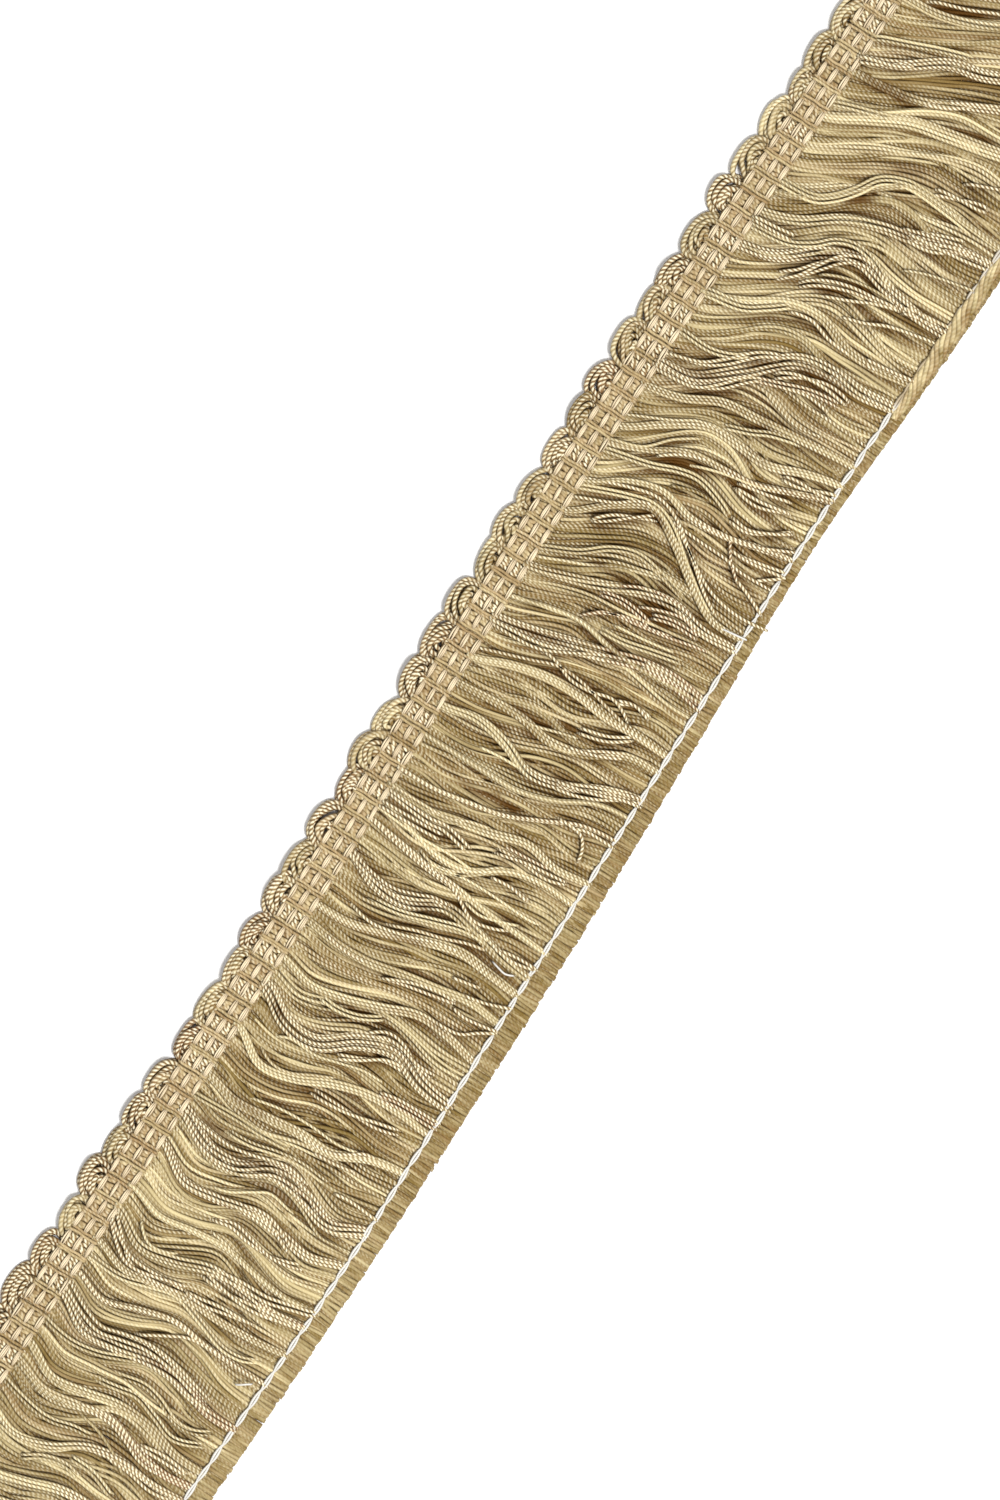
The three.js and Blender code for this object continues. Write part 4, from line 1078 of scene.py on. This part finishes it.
STRAND_LOW = 1.0
STRAND_LOW_ROOTED = 1.5
STRAND_THINNING = 0.35


def upright(size):
    """Heights as points straight up."""
    return size[..., None] * np.array([0.0, 0.0, 1.0])


def wound_lock(middle, half_wide, half_tall, number, turns, start):
    """Yarns wound loosely about one line. They lie on a flat oval round it, which turns on its way."""
    side, _ = sides_of(middle)
    share = np.linspace(0, 1, len(middle))
    angle = FULL_TURN * (np.arange(number)[:, None] / number + start + turns * share[None, :])
    wide = (np.cos(angle) * half_wide)[..., None] * side
    return middle + wide + upright(np.sin(angle) * half_tall)


def flat_lock(middle, half_wide, number):
    """Yarns side by side, the middle ones a little higher."""
    side, _ = sides_of(middle)
    place = np.linspace(-1, 1, number)[:, None]
    wide = (place * half_wide)[..., None] * side
    return middle + wide + upright(0.25 * (1 - place ** 2) * np.ones(len(middle)))


def looks_of(look, made, chance):
    """The looks at every point of a lock's yarns, each yarn a little unlike the next."""
    number, steps, _ = made.shape
    tone, blush, mark, shade = LOOKS[look]
    slow = waves_along(np.repeat(np.linspace(0, 1, steps)[None, :], number, 0), chance, 0.05)
    return np.stack([
        tone + chance.normal(0, LOOK_SPREAD[look], (number, 1)) + slow,
        blush + chance.normal(0, 0.05, (number, 1)) + np.zeros(steps),
        mark + chance.normal(0, 0.1, (number, 1)) + np.zeros(steps),
        shade + np.zeros((number, steps)),
    ])


def top_locks(chance):
    """The large loose locks, in their own waves over the ribbons. Cream ones are wound, others flat."""
    lots = []
    for width, above, below, places in TOP_LOCKS:
        down = np.linspace(ROOT_DOWN, 1.0 + chance.uniform(0, 0.03), LOCK_STEPS)
        free = free_share(down)
        along = smooth_value(places, np.clip(down, 0, 1) * STEPS_DOWN)
        dip = LOCK_DIP * eased((down - LOCK_DIP_FROM) / (1 - LOCK_DIP_FROM))
        height = LOCK_ROOT_HEIGHT + LOCK_RISE * free ** 0.4 - dip
        middle = np.stack([along, across_at(along, down), height], -1)
        half_wide = np.maximum(width / 2 - 0.3, 0.1) * (0.7 + 0.3 * free)
        number = int(round(width / YARN_PITCH))
        if "cream" in (above, below):
            turns = chance.uniform(-0.7, 0.7)
            made = wound_lock(middle, half_wide, LOCK_TALLNESS, number + 2, turns, chance.rand())
        else:
            made = flat_lock(middle, half_wide * 1.1, number + (1 if width < 2 else 0))
        turned = eased((down - LOOK_TURNS_FROM) / LOOK_TURNS_OVER)
        looks = looks_of(above, made, chance) * (1 - turned) + looks_of(below, made, chance) * turned
        lots.append(Yarns(made, YARN_RADIUS * 0.95, *looks))
    return joined(lots)


def strand_middle(path, crest):
    """A strand's line over the rest. Ends that reach the heading or the stitching run under them."""
    path = np.array(path, float)
    share = np.linspace(0, 1, LOCK_STEPS)
    start = STRAND_LOW
    if path[0, 1] > ROOTED:
        path[0, 1] = heading_low(path[0, 0]) + UNDER_HEADING
        start = STRAND_LOW_ROOTED
    if STITCHED > path[-1, 1] > STITCHED - STITCHED_REACH:
        path[-1, 1] = lie_of("stitch", path[-1, 0]) - UNDER_STITCH
    flat = smooth_value(path, share * (len(path) - 1))
    dive_in = 1 - eased(share / STRAND_DIVE)
    dive_out = 1 - eased((1 - share) / STRAND_DIVE)
    dip = STITCH_DIP * eased((STITCH_DIP_FROM - flat[:, 1]) / STITCH_DIP_REACH)
    height = crest - dip - (crest - start) * dive_in - (crest - dip - STRAND_LOW) * dive_out
    return np.column_stack([flat, height]), dive_out


def strands(chance):
    """Single strands and small bunches that stray over the rest."""
    lots = []
    for number, look, path in STRANDS:
        middle, dive_out = strand_middle(path, STRAND_HEIGHTS[look])
        if number == 1:
            made = middle[None]
        elif look == "cream":
            made = wound_lock(middle, 0.25 * number, 0.24, number, chance.uniform(-0.8, 0.8), chance.rand())
        else:
            made = flat_lock(middle, YARN_RADIUS * (number - 1), number)
        radius = YARN_RADIUS * STRAND_RADII[look] * (1 - STRAND_THINNING * dive_out) * np.ones((number, 1))
        lots.append(Yarns(made, radius, *looks_of(look, made, chance)))
    return joined(lots)


# Towards the right end the cut ends are rolled up over the stitching into a loose cord
ROLL_PLACES = [85.5, 92, 99, 106, 113, 120.5]
ROLL_STEPS = 90
ROLL_YARNS = 6
ROLL_HALF_WIDE = 0.95
ROLL_HALF_TALL = 0.5
ROLL_TURNS = 3.4
ROLL_WAVES = 5
ROLL_BELOW_STITCH = 1.05
ROLL_LOW = 0.9
ROLL_RISE = 0.55
ROLL_SWAY = 0.18
ROLL_TONE = 0.40
ROLL_HIGHLIGHT_UPWARD = 0.42
ROLL_MARK = 0.12


def rolled_edge(chance):
    along = smooth_value(ROLL_PLACES, np.linspace(0, len(ROLL_PLACES) - 1, ROLL_STEPS))
    share = np.linspace(0, 1, ROLL_STEPS)
    full = np.sin(np.pi * np.clip(share, 0.02, 0.98)) ** 0.4
    across = lie_of("stitch", along) - ROLL_BELOW_STITCH
    middle = np.column_stack([along, across, ROLL_LOW + ROLL_RISE * full])
    middle[:, 1] += ROLL_SWAY * np.sin(FULL_TURN * ROLL_WAVES * share) * full
    wound = wound_lock(middle, ROLL_HALF_WIDE, ROLL_HALF_TALL, ROLL_YARNS, ROLL_TURNS, 0.1)
    made = middle + (wound - middle) * full[None, :, None]
    upward = made[..., 1] - middle[:, 1]
    # A painted highlight along the cord's upper edge
    tone = ROLL_TONE + chance.normal(0, 0.12, (ROLL_YARNS, 1)) + ROLL_HIGHLIGHT_UPWARD * upward
    tone = tone + waves_along(np.tile(6 * share, (ROLL_YARNS, 1)), chance, 0.16)
    radius = (YARN_RADIUS * (0.8 + 0.55 * full))[None, :]
    return Yarns(made, radius, tone, chance.uniform(0.0, 0.35, ROLL_YARNS), ROLL_MARK, 0.0)


def lay_skirt():
    chance = np.random.RandomState(11)
    back = back_layer(chance)
    low = ribbon_layer(chance, LOW_RIBBONS)
    high = ribbon_layer(chance, HIGH_RIBBONS)
    locks = top_locks(chance)
    stray = strands(chance)
    surface = surface_around([low, high, locks, stray])
    gaps = gaps_between()
    low = shade_by_depth(sunk_in_gaps(low, gaps, 0.2, 0.6), surface, 1.5, 0.7)
    high = shade_by_depth(sunk_in_gaps(high, gaps, 0.6, 0.7), surface, 1.5, 0.65)
    locks = shade_by_depth(sunk_in_gaps(locks, gaps, 0.5, 0.45), surface, 1.4, 0.65)
    back = shade_by_depth(back, surface, 1.5, 0.8)
    left = low.lines[:, 0, 0] < 0

    # Name, yarns, sides of a tube, seed and how much painted shade darkens a tube's sides and underside
    for name, lot, sides, seed, edge_shade in (
        ("skirt_back", back, 5, 1, 0.3),
        ("skirt_ribbons_left", low.chosen(left), 6, 2, 0.35),
        ("skirt_ribbons_right", low.chosen(~left), 6, 2, 0.35),
        ("skirt_ribbons_high", high, 6, 3, 0.43),
        ("skirt_top_locks", locks, 6, 4, 0.42),
        ("skirt_strands", stray, 6, 9, 0.38),
        ("skirt_rolled_edge", rolled_edge(chance), 8, 10, 0.45),
    ):
        lots = [paler_to_the_left(lot)]
        piece_from(name, lots, sides, FRINGE_YARN, "fringe_skirt", seed, edge_shade)


# The looped edge

LOOP_OVERLAP = 1.22
LOOP_STEPS = 15
LOOP_RINGS = 5
LOOP_FULLNESS = 1.27
LOOP_TWIST = 0.9
LOOP_CURL = 0.26
LOOP_SWAY = 0.22
LOOP_LIFT = 0.35
LOOP_UNDER_HEADING = 0.3

# The upper and lower fans of a loop: how low they lie and how far they rise over that
UPPER_FAN = (0.6, 1.15)
LOWER_FAN = (0.42, 0.5)


def loop_yarns(chance, middle, reach, half_wide, lean, look):
    """One loop: an upper and a lower fan of nested arches, rounded like a shell."""
    angle = np.linspace(0.03, np.pi - 0.03, LOOP_STEPS)
    rise = np.sin(angle) ** 0.75
    side = -np.sign(np.cos(angle)) * np.abs(np.cos(angle)) ** 0.85
    foot = float(heading_high(np.array(middle))) - LOOP_UNDER_HEADING
    twist = chance.uniform(-LOOP_TWIST, LOOP_TWIST)
    lift = chance.uniform(0, LOOP_LIFT)
    tone, blush, mark, outer = LOOP_LOOKS[look]
    for low, tall_dome in ((UPPER_FAN[0] + lift, UPPER_FAN[1]), LOWER_FAN):
        for ring in range(LOOP_RINGS):
            nest = (ring + 0.25) / (LOOP_RINGS - 0.55)
            turned = 0.25 * twist * np.sin(angle * 2) * np.sin(np.pi * nest)
            share = nest + turned + chance.normal(0, 0.02)
            wide = 0.2 + (half_wide * LOOP_OVERLAP - 0.5) * share
            tall = (reach - 0.15) * (0.1 + 0.9 * share) * (1 + chance.normal(0, 0.05))
            curl = LOOP_CURL * np.sin(3 * angle + chance.uniform(0, FULL_TURN))
            along = middle + wide * side + lean * rise * share + curl + chance.normal(0, 0.22)
            across = foot + tall * rise
            dome = np.sin(np.pi * (0.2 + 0.68 * np.clip(share, 0, 1)))
            sway = LOOP_SWAY * np.sin(2 * angle + chance.uniform(0, FULL_TURN))
            height = low + tall_dome * dome * (0.45 + 0.55 * rise) + chance.normal(0, 0.14) + sway
            edge = outer * eased((nest - 0.6) / 0.35)
            # Rings that rise higher are painted paler and lower ones darker, as light falls on them
            shown = tone + 0.25 * (dome - 0.6) + edge + chance.normal(0, 0.17)
            red = np.full(LOOP_STEPS, blush + chance.normal(0, 0.08))
            twisted = np.full(LOOP_STEPS, mark + chance.normal(0, 0.15))
            radius = YARN_RADIUS * (LOOP_FULLNESS + chance.normal(0, 0.1))
            line = np.stack([along, across, height], -1)
            # Painted shade at the loop's feet, by the heading
            yield one_yarn(line, radius, (shown, red, twisted, 0.45 * (1 - rise) ** 2))


def lay_loops():
    """Each loop is a bundle of yarns that turns over beside the next."""
    chance = np.random.RandomState(23)
    loops = joined([yarn for row in LOOPS for yarn in loop_yarns(chance, *row)])
    loops = shade_by_depth(loops, surface_around([loops]), 1.4, 0.35)
    piece_from("loops", [loops], 6, LOOP_YARN, "loop_edge", 5, 0.2)


# The woven heading

UNDER_YARNS = (-0.9, -0.3, 0.3, 0.9)
UNDER_RADIUS = 0.41
UNDER_WIGGLE = 0.17
UNDER_DIP = 0.4
OVER_YARNS = (-0.32, 0.32)
OVER_RADIUS = 0.3
OVER_WIGGLE = 0.06
OVER_RISE = 0.25
WEFT_HEIGHT = 1.55
WEFT_CROWN = 0.22
WEFT_STEPS = 17
WEFT_REACH = 0.53
EDGE_FROM = 0.46
EDGE_DIP = 0.35
SPECKLED_MARK = 0.9
WARP_PLACES = (-0.42, 0.0, 0.42)
WARP_STEPS_PER_PICK = 5
WARP_HALF_WIDE = 0.09
WARP_LOW = 1.4
WARP_RISE = 0.9
FLOAT_HALF = 0.42
SPECKLED_SHARE = 0.3
LOWER_WEFT_HEIGHT = 0.9


def weft_yarns(chance):
    """Bundles of weft across the heading. The warp floats over every other one and dives under the next."""
    share = np.linspace(-WEFT_REACH, WEFT_REACH, WEFT_STEPS)
    near_warp = sum(np.exp(-((share - place) / WARP_HALF_WIDE) ** 2) for place in WARP_PLACES)
    outside = eased((np.abs(share) - EDGE_FROM) / 0.07)
    for pick in range(PICK_COUNT):
        middle = -HALF_LENGTH + (pick + 0.5) * PICK_PITCH
        over = pick % 2 == 1
        speckled = not over and chance.rand() < SPECKLED_SHARE
        tone = chance.uniform(0.32, 0.48)
        for place in OVER_YARNS if over else UNDER_YARNS:
            wiggle = np.sin(FULL_TURN * (1.4 * share + chance.uniform(0, 1)))
            wiggle = (OVER_WIGGLE if over else UNDER_WIGGLE) * wiggle
            along = middle + place + wiggle + chance.normal(0, 0.05)
            along = np.clip(along, -HALF_LENGTH, HALF_LENGTH)
            across = lie_of("heading", along) + share * HEADING_WIDTH
            crown = 0.0 if over else WEFT_CROWN * (1 - abs(place))
            height = WEFT_HEIGHT + crown + (OVER_RISE if over else -UNDER_DIP) * near_warp
            height = height - EDGE_DIP * outside + chance.normal(0, 0.05)
            shown = tone + chance.normal(0, 0.12) + np.zeros(WEFT_STEPS)
            red = np.full(WEFT_STEPS, chance.uniform(0.15, 0.4))
            mark = SPECKLED_MARK if speckled else chance.uniform(0.1, 0.5) * (0.5 if over else 0.8)
            # Painted shade where the weft dives under the warp, and at the heading's edges
            shade = (0.05 if over else 0.12) * np.clip(near_warp, 0, 1) + 0.15 * outside
            line = np.stack([along, across, height], -1)
            radius = OVER_RADIUS if over else UNDER_RADIUS
            yield one_yarn(line, radius, (shown, red, np.full(WEFT_STEPS, mark), shade))


def lower_weft():
    """Weft under the rest, so that the heading is closed."""
    along = np.arange(-HALF_LENGTH, HALF_LENGTH, YARN_PITCH * 0.9)[:, None] + np.zeros(4)
    across = lie_of("heading", along) + np.linspace(-0.5, 0.5, 4) * HEADING_WIDTH
    lines = np.stack([along, across, np.full(along.shape, LOWER_WEFT_HEIGHT)], -1)
    # A little painted shade on the weft that lies under the rest
    return Yarns(lines, YARN_RADIUS, 0.35, 0.2, 0.2, 0.1)


def warp_threads(chance):
    """Three lines of three fine threads that rise and spread where they float, like small lenses."""
    along = np.linspace(-HALF_LENGTH, HALF_LENGTH, PICK_COUNT * WARP_STEPS_PER_PICK + 1)
    number = PICK_COUNT // 2 + 2
    float_index = (along + HALF_LENGTH) / (2 * PICK_PITCH)
    for line in WARP_PLACES:
        for thread in (-1, 0, 1):
            uneven = smooth_value(chance.normal(0, 1, number), float_index)
            from_middle = np.abs((float_index + 0.25 + 0.03 * uneven) % 1 - 0.5)
            floating = np.sqrt(np.clip(1 - (from_middle / FLOAT_HALF) ** 2, 0, 1))
            height = WARP_LOW + WARP_RISE * floating + 0.06 * (thread == 0) + 0.03 * uneven
            spacing = 0.07 + 0.22 * floating
            across = lie_of("heading", along) + line * HEADING_WIDTH + thread * spacing + 0.05 * uneven
            # Painted light where the threads float, most on the raised middle one, and painted shade where
            # they dive under the weft
            shown = 0.45 + 0.45 * floating + 0.16 * uneven - 0.1 * (thread != 0)
            red = 0.1 + chance.normal(0, 0.08)
            made = np.stack([along, across, height], -1)[None]
            radius = (WARP_RADIUS * (0.6 + 0.4 * floating))[None]
            yield Yarns(made, radius, shown[None], red, 0.5, (0.6 * (1 - floating))[None])


def lay_heading():
    chance = np.random.RandomState(31)
    weft = [joined(list(weft_yarns(chance))), lower_weft()]
    piece_from("heading_weft", weft, 6, FRINGE_YARN, "heading_band", 6, 0.15)
    warp = [joined(list(warp_threads(chance)))]
    piece_from("heading_warp", warp, 6, WARP_THREAD, "heading_band", 7, 0.55)


# The chain stitch. Towards the right end the fringe's fibres lie over it, and it looks tan there.
STITCH_STEPS = 13
LINK_HALF_WIDE = 0.2
PINCH_HALF_WIDE = 0.05
STITCH_LOW = 1.2
STITCH_RISE = 0.35
STITCH_OVERLAP = 0.12
STITCH_OVERLAP_DIP = 0.25
TAN_FROM = 86
PALER_FROM = 103
WHITE_END_RADIUS = 0.18
WHITE_END_LOW = 1.8
WHITE_END_RISE = 1.1


def chain_yarns():
    """A chain of links: the two legs of each bow out from one pinch and close at the next."""
    ends = swung_to(np.array([-HALF_LENGTH, HALF_LENGTH]), np.array([1.0, 1.0]))
    start, end = ends[0] + STITCH_END_MARGIN, ends[1] - STITCH_END_MARGIN
    links = int(round((end - start) / LINK_LENGTH))
    chance = np.random.RandomState(41)
    share = np.linspace(-STITCH_OVERLAP, 1.06, STITCH_STEPS)
    bow = np.sin(np.pi * np.clip(share, 0, 1)) ** 0.9
    height = STITCH_LOW + STITCH_RISE * bow - STITCH_OVERLAP_DIP * np.clip(-share / STITCH_OVERLAP, 0, 1)
    lines = []
    for link in range(links):
        tilt = chance.normal(0, 0.05) * np.cos(np.pi * share)
        along = start + (link + share) * (end - start) / links
        for leg in (-1, 1):
            across = lie_of("stitch", along) + leg * (PINCH_HALF_WIDE + LINK_HALF_WIDE * bow) + tilt
            lines.append(np.stack([along, across, height], -1))
    lines = np.array(lines)
    tan = eased((lines[..., 0] - TAN_FROM) / 3) * (0.85 - 0.4 * eased((lines[..., 0] - PALER_FROM) / 6))
    return Yarns(lines, STITCH_RADIUS * (0.55 + 0.45 * bow)[None, :], 0.8, tan, 1 - tan, 0.0)


def white_ends():
    """Ends of the white thread that lie loose on the yarn."""
    share = np.linspace(0, 1, STITCH_STEPS)
    height = WHITE_END_LOW + WHITE_END_RISE * np.sin(np.pi * share) ** 0.5
    paths = [smooth_value(path, share * (len(path) - 1)) for path in WHITE_ENDS]
    lines = [np.column_stack([flat, height]) for flat in paths]
    return Yarns(np.array(lines), WHITE_END_RADIUS, 0.85, 0.0, 0.6, 0.0)


def lay_stitch():
    threads = [chain_yarns(), white_ends()]
    piece_from("chain_links", threads, 8, WHITE_THREAD, "chain_stitch", 8, 0.5)


# Floor, light and camera. The photo's right and up are in the row's own axes, and lights are in metres.
FLOOR_HALF = 3.0
FLOOR_GREY = (0.9, 0.9, 0.9, 1)
FLOOR_ROUGHNESS = 0.8
PHOTO_TURN = math.radians(-57.2)
PHOTO_RIGHT = np.array([math.cos(PHOTO_TURN), math.sin(PHOTO_TURN), 0.0])
PHOTO_UP = np.array([-math.sin(PHOTO_TURN), math.cos(PHOTO_TURN), 0.0])
KEY_PLACE = 0.35 * PHOTO_RIGHT - 0.3 * PHOTO_UP + np.array([0, 0, 0.9])
KEY_SIZE = 0.3
KEY_WATTS = 13
FILL_PLACE = -0.7 * PHOTO_RIGHT + 0.6 * PHOTO_UP + np.array([0, 0, 1.0])
FILL_SIZE = 0.9
FILL_WATTS = 5
STUDIO_LIGHT = 0.36
LENS = 85.0
SENSOR = 36.0
PICTURE_HEIGHT = 262.5
PICTURE_MIDDLE = np.array([-0.5, -12.4, 1.5])


def lay_floor():
    material = bpy.data.materials.new("pale_floor")
    material.use_nodes = True
    shader = material.node_tree.nodes["Principled BSDF"]
    shader.inputs["Base Color"].default_value = FLOOR_GREY
    shader.inputs["Roughness"].default_value = FLOOR_ROUGHNESS
    mesh = bpy.data.meshes.new("floor")
    corners = [(x * FLOOR_HALF, y * FLOOR_HALF, 0) for x, y in ((-1, -1), (1, -1), (1, 1), (-1, 1))]
    mesh.from_pydata(corners, [], [(0, 1, 2, 3)])
    mesh.materials.append(material)
    floor = bpy.data.objects.new("floor", mesh)
    bpy.context.scene.collection.objects.link(floor)


def soft_light(name, place, size, watts):
    lamp = bpy.data.lights.new(name, "AREA")
    lamp.shape = "SQUARE"
    lamp.size = size
    lamp.energy = watts
    light = bpy.data.objects.new(name, lamp)
    bpy.context.scene.collection.objects.link(light)
    light.location = place
    light.rotation_mode = "QUATERNION"
    aim = -light.location
    light.rotation_quaternion = aim.to_track_quat("-Z", "Y")


def light_studio():
    soft_light("key_light", KEY_PLACE, KEY_SIZE, KEY_WATTS)
    soft_light("fill_light", FILL_PLACE, FILL_SIZE, FILL_WATTS)
    world = bpy.data.worlds.new("studio")
    world.use_nodes = True
    world.node_tree.nodes["Background"].inputs["Color"].default_value = (1, 1, 1, 1)
    world.node_tree.nodes["Background"].inputs["Strength"].default_value = STUDIO_LIGHT
    bpy.context.scene.world = world
    bpy.context.scene.view_settings.view_transform = "Standard"


def set_camera():
    """Straight above the trim, turned as the photo's camera was."""
    distance = PICTURE_HEIGHT / 2 / (SENSOR / 2 / LENS)
    data = bpy.data.cameras.new("camera")
    data.lens = LENS
    data.sensor_width = SENSOR
    data.clip_start = 0.01
    camera = bpy.data.objects.new("camera", data)
    camera.location = (PICTURE_MIDDLE + SHIFT + np.array([0, 0, distance])) * MM
    camera.rotation_euler = (0, 0, PHOTO_TURN)
    bpy.context.scene.collection.objects.link(camera)
    bpy.context.scene.camera = camera


lay_skirt()
lay_loops()
lay_heading()
lay_stitch()
lay_floor()
light_studio()
set_camera()
